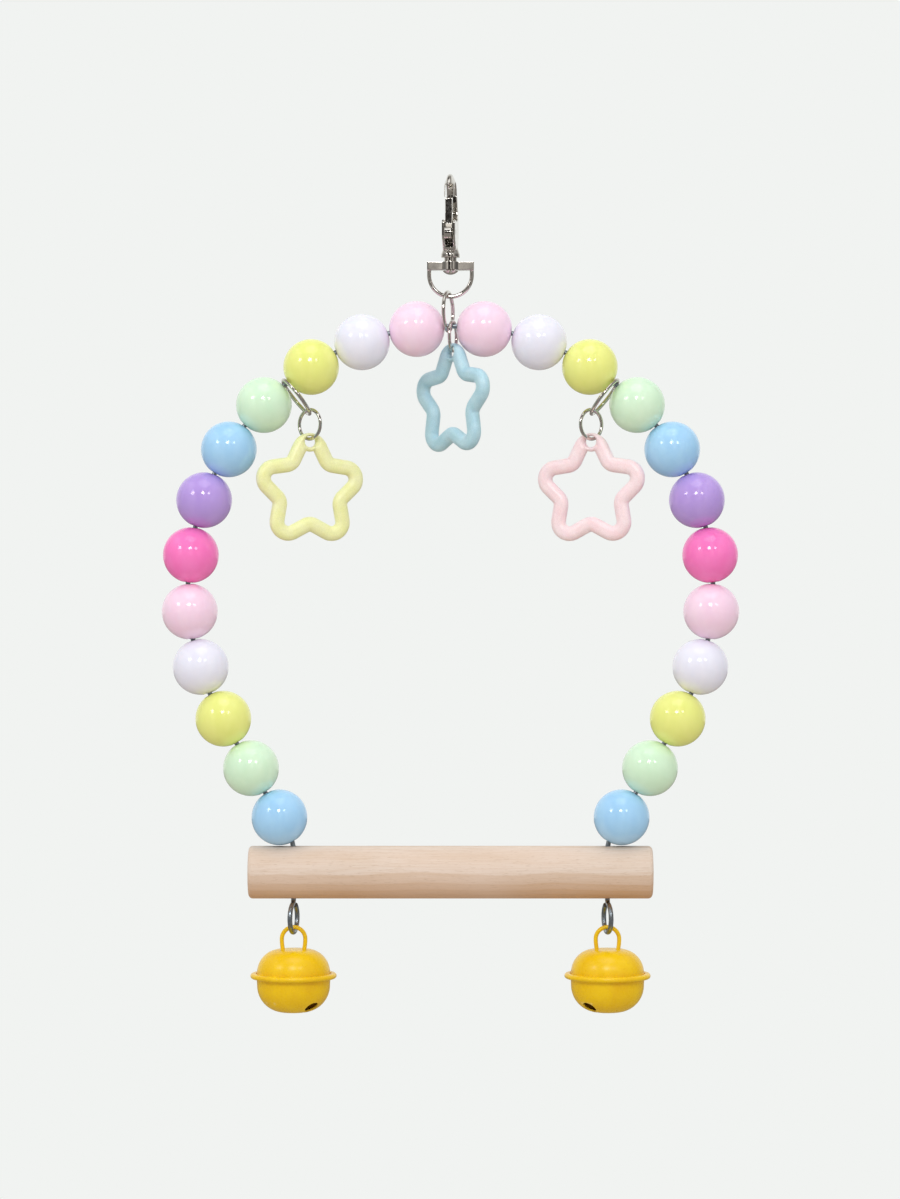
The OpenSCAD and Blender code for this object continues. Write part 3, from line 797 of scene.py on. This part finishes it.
@dataclass
class TriggerHook:
    """The cast hook with its gate, pin, spring and rivet, and the D ring below it."""

    voxel_mm: float = 0.09
    passes: dict[str, int] = field(default_factory=lambda: {
        "hook_body": 9, "hook_gate": 6, "swivel_ring": 5, "swivel_rivet": 3})
    spring_wire_mm: float = 0.3
    spring_turns: float = 3.5
    spring_foot_mm: float = -15.2
    spring_keep: float = 0.44
    spring_steps: int = 40
    spring_sides: int = 12

    def spring(self) -> Object:
        """Coils the gate's spring at one length; in the clasp the heel shortens it as the gate
        opens.

        Returns:
            The spring.
        """
        centre, size = middle("gate_spring")
        wire = self.spring_wire_mm * MM
        radius, rise = (size.x - wire) / 2, size.z - wire
        steps = round(self.spring_steps * self.spring_turns)
        bend = arc(radius, 0, 360 * self.spring_turns, steps)
        path = [centre + Vector((x, y, rise * (i / steps - 0.5))) for i, (x, y) in enumerate(bend)]
        coil = Shape().wire(path, wire / 2, self.spring_sides).make("gate_spring_coil")
        fit(coil, "gate_spring", Palette.spring)
        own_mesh(coil)
        return coil

    def build(self) -> list[Object]:
        """Rounds the castings and dresses the small steel pieces.

        Returns:
            The pieces.
        """
        pieces = []
        for node, passes in self.passes.items():
            piece = copy_of(node)
            soften(piece, self.voxel_mm, passes)
            pieces.append(fit(piece, node, Palette.casting))
        return [*pieces, dress("gate_pin", Palette.turned), self.spring()]


@dataclass
class JumpRing:
    """One turn of bent wire whose cut ends all but meet."""

    node: str
    wire_mm: float
    normal: Vector
    slit_deg: float
    slit_mm: float = 0.12
    skew_mm: float = 0.05
    steps: int = 120

    def build(self) -> Object:
        """Sweeps the ring in its own plane, its ends a hair out of line as pliers leave them.

        Returns:
            The ring.
        """
        centre, size = middle(self.node)
        radius = max(size) / 2 - self.wire_mm * MM / 2
        level = UP.cross(self.normal).normalized()
        rise = self.normal.cross(level).normalized()
        gap = math.degrees(self.slit_mm * MM / radius)
        bend = arc(radius, self.slit_deg + gap / 2, 360 - gap, self.steps)
        path = [centre + x * level + y * rise
                + self.normal * self.skew_mm * MM * (i / self.steps - 0.5)
                for i, (x, y) in enumerate(bend)]
        ring = Shape().wire(path, self.wire_mm * MM / 2).make(f"{self.node}_dressed")
        return fit(ring, self.node, Palette.wire)


@dataclass
class Rings:
    """The jump rings that hang the arch and the stars."""

    large_wire_mm: float = 1.1
    small_wire_mm: float = 1.0
    link_turn_deg: float = 8.0

    def build(self) -> list[Object]:
        """Builds every ring in the plane that its joint gives.

        Returns:
            The rings.
        """
        large, small = self.large_wire_mm, self.small_wire_mm
        top_normal = pivot("star_swing_top")[1].cross(UP)
        rings = [JumpRing("hanger_ring", large, top_normal, slit_deg=30),
                 JumpRing("star_ring_top", small, top_normal, slit_deg=200)]
        turn = math.radians(self.link_turn_deg)
        for side in Side:
            tangent = pivot(f"link_swing_{side.word}")[1]
            square = tangent * math.cos(turn) - Vector((0, side.value * math.sin(turn), 0))
            level = pivot(f"star_swing_{side.word}")[1]
            rings += [JumpRing(f"link_ring_{side.word}", large, square, slit_deg=25),
                      JumpRing(f"star_ring_{side.word}", small, level.cross(UP), slit_deg=160)]
        return [ring.build() for ring in rings]


@dataclass
class Beads:
    """Twenty-four moulded beads, threaded on the arch, each turned further than the one before."""

    count: int = 12
    bore_mm: float = 2.5
    mouth_mm: float = 0.35
    mouth_ease: tuple[float, float] = (0.35, 0.12)
    seam_mm: float = 0.02
    spin_deg: float = 47.0
    rows: int = 48
    steps: int = 96

    def outline(self, radius: float) -> Outline:
        """Draws half a bead's section, with its bore, its eased mouths and the mould's seam.

        Args:
            radius: The bead's radius, in millimetres.

        Returns:
            Radius and height of each point, closed.
        """
        ball, bore, mouth = radius - self.seam_mm, self.bore_mm / 2, self.mouth_mm
        top = math.degrees(math.acos((bore + mouth) / ball))
        curve = arc(ball, -top, 2 * top, self.rows)
        # The seam stands proud at the middle point alone
        waist = [(radius, 0.0) if abs(z) < 0.01 else (r, z) for r, z in curve]
        mouth_z = curve[-1][1]
        out, down = self.mouth_ease
        ease = [(bore + mouth * out, mouth_z - mouth * down), (bore, mouth_z - mouth)]
        return waist + ease + mirrored(ease)

    def build(self) -> list[Object]:
        """Turns every bead and threads it on the arch.

        Returns:
            The beads.
        """
        radius = middle("bead_left_1")[1].y / 2 / MM
        pieces = []
        for side in Side:
            for i in range(1, self.count + 1):
                node = f"bead_{side.word}_{i}"
                bead = Shape().turn(self.outline(radius), self.steps).make(f"{node}_dressed")
                spot, axis = pivot(f"turn_bead_{side.word}_{i:02d}")
                along = axis.to_track_quat("Z", "Y").to_matrix().to_4x4()
                spin = Matrix.Rotation(math.radians(self.spin_deg * i), 4, "Z")
                bead.data.transform(Matrix.Translation(spot) @ along @ spin)
                pieces.append(fit(bead, node, Palette.beads[(i - 1) % len(Palette.beads)]))
        return pieces


@dataclass
class Star:
    """A five-pointed star of moulded tube, with a thickened top point and a round hole."""

    node: str
    hang: str
    turn_deg: float
    finish: Finish
    reach_mm: float = 16.5
    notch_mm: float = 9.6
    tube_w_mm: float = 4.3
    tube_t_mm: float = 3.6
    tip_mm: float = 3.3
    notch_bend_mm: float = 2.8
    hole_mm: float = 1.6
    hole_drop_mm: float = 2.5
    mouth_mm: float = 1.75
    lug_mm: float = 2.7
    voxel_mm: float = 0.16
    passes: int = 6
    points: int = 5
    bend_steps: int = 20
    edge_steps: int = 14
    mouth_steps: int = 16
    steps: int = 64

    def tip_angle(self) -> float:
        """Settles the corners' angle from the rounded tips and notches, by repeated guesses.

        Returns:
            Half the angle, in degrees.
        """
        half = math.pi / self.points
        tip_r = self.reach_mm - self.tube_w_mm / 2 - self.tip_mm
        first_guess_deg, tries = 26, 40
        angle = math.radians(first_guess_deg)
        for _ in range(tries):
            spare = 1 / math.cos(math.pi / 2 - half - angle) - 1
            inner = self.notch_mm - self.notch_bend_mm * spare
            outer = tip_r + self.tip_mm / math.sin(angle)
            edge = math.sqrt(outer ** 2 + inner ** 2 - 2 * outer * inner * math.cos(half))
            angle = math.asin(math.sin(half) * inner / edge)
        return math.degrees(angle)

    def centreline(self) -> list[tuple[float, float, float, float]]:
        """Draws the tube's middle line round the star.

        Returns:
            X, Z and the outward direction's X and Z at each point, in millimetres.
        """
        half = 180 / self.points
        angle = self.tip_angle()
        tip_r = self.reach_mm - self.tube_w_mm / 2 - self.tip_mm
        notch_r = self.notch_mm + self.notch_bend_mm
        sweep, dip = 2 * (90 - angle), 90 - half - angle
        line = []
        for k in range(self.points):
            tip = 90 - 2 * half * k
            bends = ((tip_r, tip, self.tip_mm, tip + sweep / 2, -sweep, 1),
                     (notch_r, tip - half, self.notch_bend_mm, tip - half + 180 - dip, 2 * dip, -1))
            for reach, at, bend, start, turn, outward in bends:
                cx, cz = reach * math.cos(math.radians(at)), reach * math.sin(math.radians(at))
                for ux, uz in arc(1.0, start, turn, self.bend_steps):
                    line.append((cx + bend * ux, cz + bend * uz, outward * ux, outward * uz))
        return line

    def tube(self) -> Shape:
        """Sweeps the star's closed tube, flat-sided in the middle and half round at both edges.

        Returns:
            The tube.
        """
        flat = (self.tube_w_mm - self.tube_t_mm) / 2
        edge = arc(self.tube_t_mm / 2, -90, 180, self.edge_steps)
        section = [(flat + d, t) for d, t in edge] + [(-flat - d, -t) for d, t in edge]
        rings = [[Vector((x + d * ux, t, z + d * uz)) * MM for d, t in section]
                 for x, z, ux, uz in self.centreline()]
        return Shape().skin(rings, looped=True)

    def lug(self) -> Shape:
        """Draws the round thickening at the top point, flat in XY.

        Returns:
            The lug.
        """
        half = self.tube_t_mm / 2
        rim = placed(arc(half, -90, 180, self.edge_steps), self.lug_mm - half)
        return Shape().turn([(0.0, half), (0.0, -half)] + rim, self.steps)

    def hole(self) -> Shape:
        """Draws what the hole takes away, with mouths rounded like a trumpet's.

        Returns:
            The cutter, flat in XY.
        """
        wide, far = self.hole_mm + self.mouth_mm, 2 * self.tube_t_mm
        straight = max(0.0, self.tube_t_mm / 2 - self.mouth_mm)
        # The mouth stops short of level, where the cutter would only graze the tube
        upper = placed(arc(self.mouth_mm, 180, -88, self.mouth_steps), wide, straight)
        half = upper + [(wide, far), (0.0, far)]
        return Shape().turn(mirrored(half) + half, self.steps)

    def build(self) -> Object:
        """Melts tube and lug into one moulding, pierces it and hangs it on its ring.

        Returns:
            The star.
        """
        star = self.tube().make(f"{self.node}_dressed")
        stand = Matrix.Rotation(math.radians(90), 4, "X")
        for shape, drop, joinery in ((self.lug(), self.lug_mm, Joinery.MELT),
                                     (self.hole(), self.hole_drop_mm, Joinery.CUT)):
            other = shape.make("other")
            other.data.transform(Matrix.Translation((0, 0, (self.reach_mm - drop) * MM)) @ stand)
            combine(star, joinery, [other])
        soften(star, self.voxel_mm, self.passes)
        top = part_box(self.node)[1].z
        spot = pivot(self.hang)[0]
        centre = Vector((spot.x, spot.y, top - self.reach_mm * MM))
        star.data.transform(Matrix.Translation(centre)
                            @ Matrix.Rotation(math.radians(self.turn_deg), 4, "Z"))
        return fit(star, self.node, self.finish)


@dataclass
class Stars:
    """The three star charms."""

    side_turn_deg: float = 20.0
    top_turn_deg: float = -52.0

    def build(self) -> list[Object]:
        """Builds the stars, each turned on its ring.

        Returns:
            The stars.
        """
        side = self.side_turn_deg
        turns = {"left": side, "right": -side, "top": self.top_turn_deg}
        return [Star(f"star_{word}", f"star_swing_{word}", turn, Palette.stars[word]).build()
                for word, turn in turns.items()]


@dataclass
class Perch:
    """The turned dowel with its two bores."""

    edge_mm: float = 1.2
    bore_mm: float = 2.4
    edge_steps: int = 10
    bore_steps: int = 32
    rows: int = 30
    steps: int = 128

    def build(self) -> list[Object]:
        """Turns the dowel, eases its ends and bores it for the wire.

        Returns:
            The dowel.
        """
        centre, size = middle("perch")
        radius, half = size.z / 2 / MM, size.x / 2 / MM
        edge, rows = self.edge_mm, self.rows
        end = placed(arc(edge, 0, 90, self.edge_steps), radius - edge, half - edge)
        side = [(radius, -half + edge + 2 * (half - edge) * i / rows) for i in range(1, rows)]
        # Rings of points between rim and middle keep the end faces' triangles short
        face = [((radius - edge) * share, half) for share in (0.75, 0.5, 0.25, 0.0)]
        outline = mirrored(face) + mirrored(end) + side + end + face
        dowel = Shape().turn(outline, self.steps).make("perch_dressed")
        dowel.data.transform(Matrix.Translation(centre) @ Matrix.Rotation(math.radians(90), 4, "Y"))
        drills = []
        for hand in Side:
            bit = drill(self.bore_mm / 2, -radius * 2, radius * 2, self.bore_steps)
            spot = pivot(f"bell_swing_{hand.word}")[0]
            bit.data.transform(Matrix.Translation((spot.x, 0, centre.z)))
            drills.append(bit)
        combine(dowel, Joinery.CUT, drills)
        tidy_mesh(dowel.data)
        return [fit(dowel, "perch", SandedBirch("bare sanded birch dowel", centre.z))]


@dataclass
class Bell:
    """One jingle bell: two pressed shells with a folded seam, a clinched loop and a pellet."""

    side: Side
    body_r_mm: float = 10.4
    dome_h_mm: float = 7.8
    dome_round_mm: float = 6.6
    bowl_h_mm: float = 10.1
    bowl_round_mm: float = 7.6
    sheet_mm: float = 0.5
    rim_r_mm: float = 12.3
    root_mm: float = 0.45
    lip_mm: float = 0.8
    lip_edge_mm: float = 0.12
    play_mm: float = 0.02
    lip_play_mm: float = 0.03
    loop_wire_mm: float = 1.2
    loop_w_mm: float = 7.9
    loop_h_mm: float = 6.9
    loop_waist_mm: float = 0.5
    clinch_mm: float = 1.1
    slot_w_mm: float = 1.3
    slot_hole_mm: float = 4.2
    slot_reach_deg: float = 40.0
    slot_turn_deg: float = 45.0
    bend_steps: int = 40
    fold_steps: int = 16
    pocket_steps: int = 8
    foot_steps: int = 10
    leg_steps: int = 8
    loop_sides: int = 24
    hole_steps: int = 48
    ball_steps: int = 64
    steps: int = 160

    def pressed(self, depth: float, bend: float) -> tuple[Outline, Outline]:
        """Draws a shell: a flat middle, a bend and a straight side.

        Args:
            depth: Depth of the shell, in millimetres.
            bend: Outer radius of its bend, in millimetres.

        Returns:
            The outside from the axis to the side, and the inside back to the axis.
        """
        flat, side = self.body_r_mm - bend, depth - bend
        outside = placed(arc(bend, 90, -90, self.bend_steps + 4), flat, side)
        inside = placed(arc(bend - self.sheet_mm, 0, 90, self.bend_steps), flat, side)
        return [(0.0, depth)] + outside, inside + [(0.0, depth - self.sheet_mm)]

    def upper(self) -> Shape:
        """Turns the upper shell: a flattened dome with a flat flange.

        Returns:
            The shell.
        """
        sheet, body, root = self.sheet_mm, self.body_r_mm, self.root_mm
        outside, inside = self.pressed(self.dome_h_mm, self.dome_round_mm)
        # The flange ends inside the fold, and a small fillet leads to it from the side
        rim = self.rim_r_mm - 0.6 * sheet
        flange = [(body + 0.08, sheet + root * 0.45), (body + root, sheet), (rim, sheet),
                  (rim, self.play_mm), (body - sheet, self.play_mm)]
        return Shape().turn(outside + flange + inside, self.steps)

    def lower(self) -> Shape:
        """Turns the lower shell: a deep bowl with its rim folded over the upper shell's flange.

        Returns:
            The shell.
        """
        sheet, body, edge = self.sheet_mm, self.body_r_mm, self.lip_edge_mm
        # The fold takes in the flange, so it is three sheets thick
        fold = 1.5 * sheet
        fold_x = self.rim_r_mm - fold
        lip_x = fold_x - self.lip_mm
        under = sheet + self.lip_play_mm
        outside, inside = ([(r, -z) for r, z in half]
                           for half in self.pressed(self.bowl_h_mm, self.bowl_round_mm))
        # A fillet of 0.4 mm leads from the side to the rim
        root = [(body + 0.1, -sheet - 0.22), (body + 0.4, -sheet)]
        roll = placed(arc(fold, -90, 180, self.fold_steps), fold_x, sheet / 2)
        lip = [(lip_x + edge, 2 * sheet), (lip_x, 2 * sheet - edge), (lip_x, under),
               (fold_x, under)]
        pocket = arc(sheet / 2 + self.play_mm, 80, -160, self.pocket_steps)
        rim = root + roll + lip + placed(pocket, fold_x, sheet / 2)
        seat = [(fold_x, 0.0), (body - sheet, 0.0)]
        return Shape().turn(outside + rim + seat + inside, self.steps)

    def slot(self) -> list[Object]:
        """Makes what the slot takes away: a saw cut and a drilled hole at each end.

        Returns:
            The cutters, about the bell's own axis.
        """
        bend, depth = self.bowl_round_mm, self.bowl_h_mm
        flat = self.body_r_mm - bend
        reach = math.radians(self.slot_reach_deg)
        x, y = flat + bend * math.sin(reach), self.slot_w_mm / 2
        # The saw comes from 1 mm below and stops two sheets above the slot's ends
        low, high = -depth - 1, bend * (1 - math.cos(reach)) - depth + 2 * self.sheet_mm
        corners = ((-x, -y), (x, -y), (x, y), (-x, y))
        blade = [[Vector((*corner, z)) * MM for corner in corners] for z in (low, high)]
        cutters = [Shape().skin(blade).make("saw")]
        for sign in (-1, 1):
            bit = drill(self.slot_hole_mm / 2, bend / 2, bend * 1.5, self.hole_steps)
            bit.data.transform(Matrix.Translation(Vector((sign * flat, 0, bend - depth)) * MM)
                               @ Matrix.Rotation(math.pi - sign * reach, 4, "Y"))
            cutters.append(bit)
        return cutters

    def loop(self) -> Shape:
        """Bends the loop: a round top, two legs that draw in, and feet clinched under the dome.

        Returns:
            The loop.
        """
        wire, waist, clinch = self.loop_wire_mm, self.loop_waist_mm, self.clinch_mm
        rows = self.leg_steps
        radius = (self.loop_w_mm - wire) / 2
        bend_z = self.dome_h_mm + self.loop_h_mm - wire / 2 - radius
        foot_z = self.dome_h_mm - self.sheet_mm - wire / 4
        foot = placed(arc(clinch, 260, -80, self.foot_steps), radius - waist + clinch, foot_z)
        leg = [(radius - waist * (1 - i / rows) ** 2, foot_z + (bend_z - foot_z) * i / rows)
               for i in range(1, rows)]
        half = foot + leg + placed(arc(radius, 0, 90, self.bend_steps // 2), 0, bend_z)
        path = [Vector((x, 0, z)) * MM for x, z in half + [(-x, z) for x, z in half[-2::-1]]]
        return Shape().wire(path, wire / 2 * MM, self.loop_sides)

    def pellet(self, node: str) -> Object:
        """Turns the steel ball that rings the bell.

        Args:
            node: The ball's node.

        Returns:
            The ball, in its place.
        """
        centre, size = middle(node)
        outline = arc(size.z / 2 / MM, -90, 180, self.bend_steps)
        ball = Shape().turn(outline, self.ball_steps).make(f"{node}_dressed")
        ball.data.transform(Matrix.Translation(centre))
        return ball

    def build(self) -> list[Object]:
        """Builds shells and loop about the bell's axis, sets them in place and adds the pellet.

        Returns:
            The pieces.
        """
        word = self.side.word
        seat = Matrix.Translation(pivot(f"pellet_roll_{word}")[0])
        mirror = Matrix.Diagonal((self.side.value, 1, 1, 1))
        turn = Matrix.Rotation(math.radians(self.slot_turn_deg), 4, "Z")
        cutters = self.slot()
        for cutter in cutters:
            cutter.data.transform(mirror @ turn)
            tidy_mesh(cutter.data)
        pieces = []
        shapes = {"upper": self.upper(), "lower": self.lower(), "loop": self.loop()}
        for part, shape in shapes.items():
            node = f"bell_{part}_{word}"
            piece = shape.make(f"{node}_dressed")
            if part == "lower":
                combine(piece, Joinery.CUT, cutters)
                tidy_mesh(piece.data)
            piece.data.transform(seat)
            pieces.append(fit(piece, node, Palette.enamel))
        node = f"bell_pellet_{word}"
        return [*pieces, fit(self.pellet(node), node, Palette.turned)]


class ArchWire:
    """The bent wire that carries the beads, the perch and the bells."""

    def build(self) -> list[Object]:
        """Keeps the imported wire's own mesh and gives it its zinc."""
        return [dress("arch_wire", Palette.galvanised)]


@dataclass(frozen=True)
class Lamp:
    """A round soft lamp, placed by its angles to the right of the camera and above the level."""

    name: str
    right_deg: float
    above_deg: float
    away_mm: float
    size_mm: float
    watts: float

    def hang(self, aim: Vector) -> Object:
        """Places the lamp so that it faces a point.

        Args:
            aim: The point.

        Returns:
            The lamp.
        """
        data = bpy.data.lights.new(self.name, "AREA")
        data.shape = "DISK"
        data.size = self.size_mm * MM
        data.energy = self.watts
        across, rise = math.radians(self.right_deg), math.radians(self.above_deg)
        way = Vector((math.sin(across) * math.cos(rise), -math.cos(across) * math.cos(rise),
                      math.sin(rise)))
        lamp = put(self.name, data)
        lamp.location = aim + way * self.away_mm * MM
        lamp.rotation_euler = (-way).to_track_quat("-Z", "Y").to_euler()
        return lamp


@dataclass
class Studio:
    """Camera, lamps, floor and surroundings, as plain as a pale product studio."""

    image_px: tuple[int, int] = (900, 1199)
    px_per_mm: float = 3.5
    origin_px: tuple[float, float] = (450.5, 195.0)
    distance_mm: float = 930.0
    sensor_mm: float = 36.0
    clip_m: tuple[float, float] = (0.05, 20.0)
    backdrop: str = "F1F3F1"
    floor_paint: str = "CFC6BC"
    floor_shade: str = "8C8884"
    floor_drop_mm: float = 260.0
    floor_radius_mm: float = 4000.0
    floor_sides: int = 96
    shadow_mm: tuple[float, float] = (300.0, 1000.0)
    fill_strength: float = 0.86
    lamps: tuple[Lamp, ...] = (
        Lamp("left_softbox", -50, 27, 1150, 240, 1.2),
        Lamp("key_softbox", -4, 29, 1150, 250, 2.4),
        Lamp("right_softbox", 23, 28, 1150, 200, 0.8),
        Lamp("ceiling_panel", 0, 74, 1300, 900, 2.6),
    )

    def aim(self) -> Vector:
        """Finds the point in the object's plane at the middle of the image.

        Returns:
            The point, in metres.
        """
        x = (self.image_px[0] / 2 - self.origin_px[0]) / self.px_per_mm
        z = (self.origin_px[1] - self.image_px[1] / 2) / self.px_per_mm
        return Vector((x, 0, z)) * MM

    def camera(self) -> Object:
        """Sets a level camera whose frame matches the image's height at the object's plane.

        Returns:
            The camera.
        """
        data = bpy.data.cameras.new("camera")
        data.sensor_fit = "VERTICAL"
        data.sensor_height = self.sensor_mm
        data.lens = data.sensor_height * self.distance_mm / (self.image_px[1] / self.px_per_mm)
        data.clip_start, data.clip_end = self.clip_m
        eye = put("camera", data)
        eye.location = self.aim() + Vector((0, -self.distance_mm * MM, 0))
        eye.rotation_euler = (math.radians(90), 0, 0)
        bpy.context.scene.camera = eye
        return eye

    def rays(self, tree: Tree, *kinds: Ray) -> Socket:
        """Gives one for the named kinds of ray, and zero for the rest.

        Args:
            tree: The node tree.
            *kinds: The kinds.

        Returns:
            The greatest of them.
        """
        total, *others = [add(tree, "LightPath", {}, kind.value) for kind in kinds]
        for other in others:
            total = add(tree, "Math", {0: total, 1: other}, operation="MAXIMUM")
        return total

    def world(self) -> None:
        """Sets soft light from all round, a plain backdrop, and a room that only shows in shine."""
        world = bpy.data.worlds.new("studio")
        world.use_nodes = True
        bpy.context.scene.world = world
        tree = world.node_tree
        tree.nodes.clear()
        # Each part of a direction runs from -1 to 1
        way = add(tree, "TexCoord", {}, "Generated")
        x, y, z = [add(tree, "MapRange", {"Value": add(tree, "SeparateXYZ", {0: way}, axis),
                                          "From Min": -1.0}) for axis in "XYZ"]
        # From the floor to the ceiling
        fill = add(tree, "ValToRGB", {"Fac": z}, stops=(
            (0.0, "B7B3B8"), (0.5, "F0F0F3"), (1.0, "FFFFFF")))
        # From behind the camera to the backdrop behind the swing
        dim = add(tree, "ValToRGB", {"Fac": y}, stops=(
            (0.0, "1E1B18"), (0.3, "262423"), (0.48, "141312"), (0.7, "65615D"),
            (0.9, self.backdrop)))
        pale = add(tree, "ValToRGB", {"Fac": y}, stops=(
            (0.0, "F0EBE5"), (0.3, "BDBAB6"), (0.48, "ECEBE9"), (0.7, "C0BCB7"),
            (0.9, self.backdrop)))
        # From left to right: a window, a dark doorway, a wall, a curtain, a corner and a far wall
        panes = add(tree, "ValToRGB", {"Fac": x}, stops=(
            (0.0, "808080"), (0.2, "FFFFFF"), (0.24, "000000"), (0.46, "000000"), (0.49, "A8A8A8"),
            (0.56, "FFFFFF"), (0.6, "202020"), (0.7, "202020"), (0.76, "E8E8E8"), (1.0, "606060")))
        room = layered(tree, dim, (panes, pale))
        lit = add(tree, "Background", {"Color": fill, "Strength": self.fill_strength})
        shine = add(tree, "Background", {"Color": room})
        plain = add(tree, "Background", {"Color": self.backdrop})
        mixed = add(tree, "MixShader", {0: self.rays(tree, Ray.GLOSSY, Ray.TRANSMISSION), 1: lit,
                                        2: shine})
        mixed = add(tree, "MixShader", {0: self.rays(tree, Ray.CAMERA), 1: mixed, 2: plain})
        plug(tree, tree.nodes.new("ShaderNodeOutputWorld"), {"Surface": mixed})

    def paint(self) -> bpy.types.Material:
        """Mixes the floor's paint: it takes the swing's shadow, and meets the backdrop.

        Returns:
            The paint.
        """
        paint = bpy.data.materials.new("matt pale floor paint")
        paint.use_nodes = True
        tree = paint.node_tree
        tree.nodes.clear()
        matt = add(tree, "BsdfDiffuse", {"Color": self.floor_paint})
        glow = add(tree, "Emission", {"Color": self.backdrop, "Strength": 1.0})
        # The shadow below the swing shows, and fades out 1 m away
        spot = add(tree, "TexCoord", {}, "Object")
        reach = add(tree, "VectorMath", {0: spot}, "Value", operation="LENGTH")
        near, far = self.shadow_mm
        fade = add(tree, "MapRange", {"Value": reach, "From Min": near * MM, "From Max": far * MM,
                                      "To Min": 0.8})
        shown = self.rays(tree, Ray.CAMERA, Ray.TRANSMISSION)
        share = add(tree, "Math", {0: shown, 1: fade}, operation="MULTIPLY")
        mix = add(tree, "MixShader", {0: share, 1: matt, 2: glow})
        # What shines mirrors a floor in shade
        shade = add(tree, "Emission", {"Color": self.floor_shade, "Strength": 1.0})
        mix = add(tree, "MixShader", {0: self.rays(tree, Ray.GLOSSY), 1: mix, 2: shade})
        plug(tree, tree.nodes.new("ShaderNodeOutputMaterial"), {"Surface": mix})
        return paint

    def floor(self) -> Object:
        """Lays a wide pale floor well below the bells, of the backdrop's own colour.

        Returns:
            The floor.
        """
        work = bmesh.new()
        bmesh.ops.create_circle(work, cap_ends=True, segments=self.floor_sides,
                                radius=self.floor_radius_mm * MM)
        mesh = bpy.data.meshes.new("floor")
        work.to_mesh(mesh)
        work.free()
        mesh.materials.append(self.paint())
        plate = put("floor", mesh)
        plate.location.z = CAD_BOX[0].z - self.floor_drop_mm * MM
        return plate

    def build(self) -> list[Object]:
        """Builds the whole studio.

        Returns:
            Camera, floor and lamps.
        """
        bpy.context.scene.view_settings.view_transform = "Standard"
        self.world()
        return [self.camera(), self.floor(), *(lamp.hang(self.aim()) for lamp in self.lamps)]


def main() -> None:
    """Builds the studio and every sub-assembly in order."""
    logging.basicConfig(level=logging.INFO, format="%(name)s: %(message)s")
    for assembly in (Studio(), TriggerHook(), Rings(), Beads(), Stars(), Perch(), Bell(Side.LEFT),
                     Bell(Side.RIGHT), ArchWire()):
        for piece in assembly.build():
            LOG.info("%s: %s", type(assembly).__name__, piece.name)


if __name__ == "__main__":
    main()
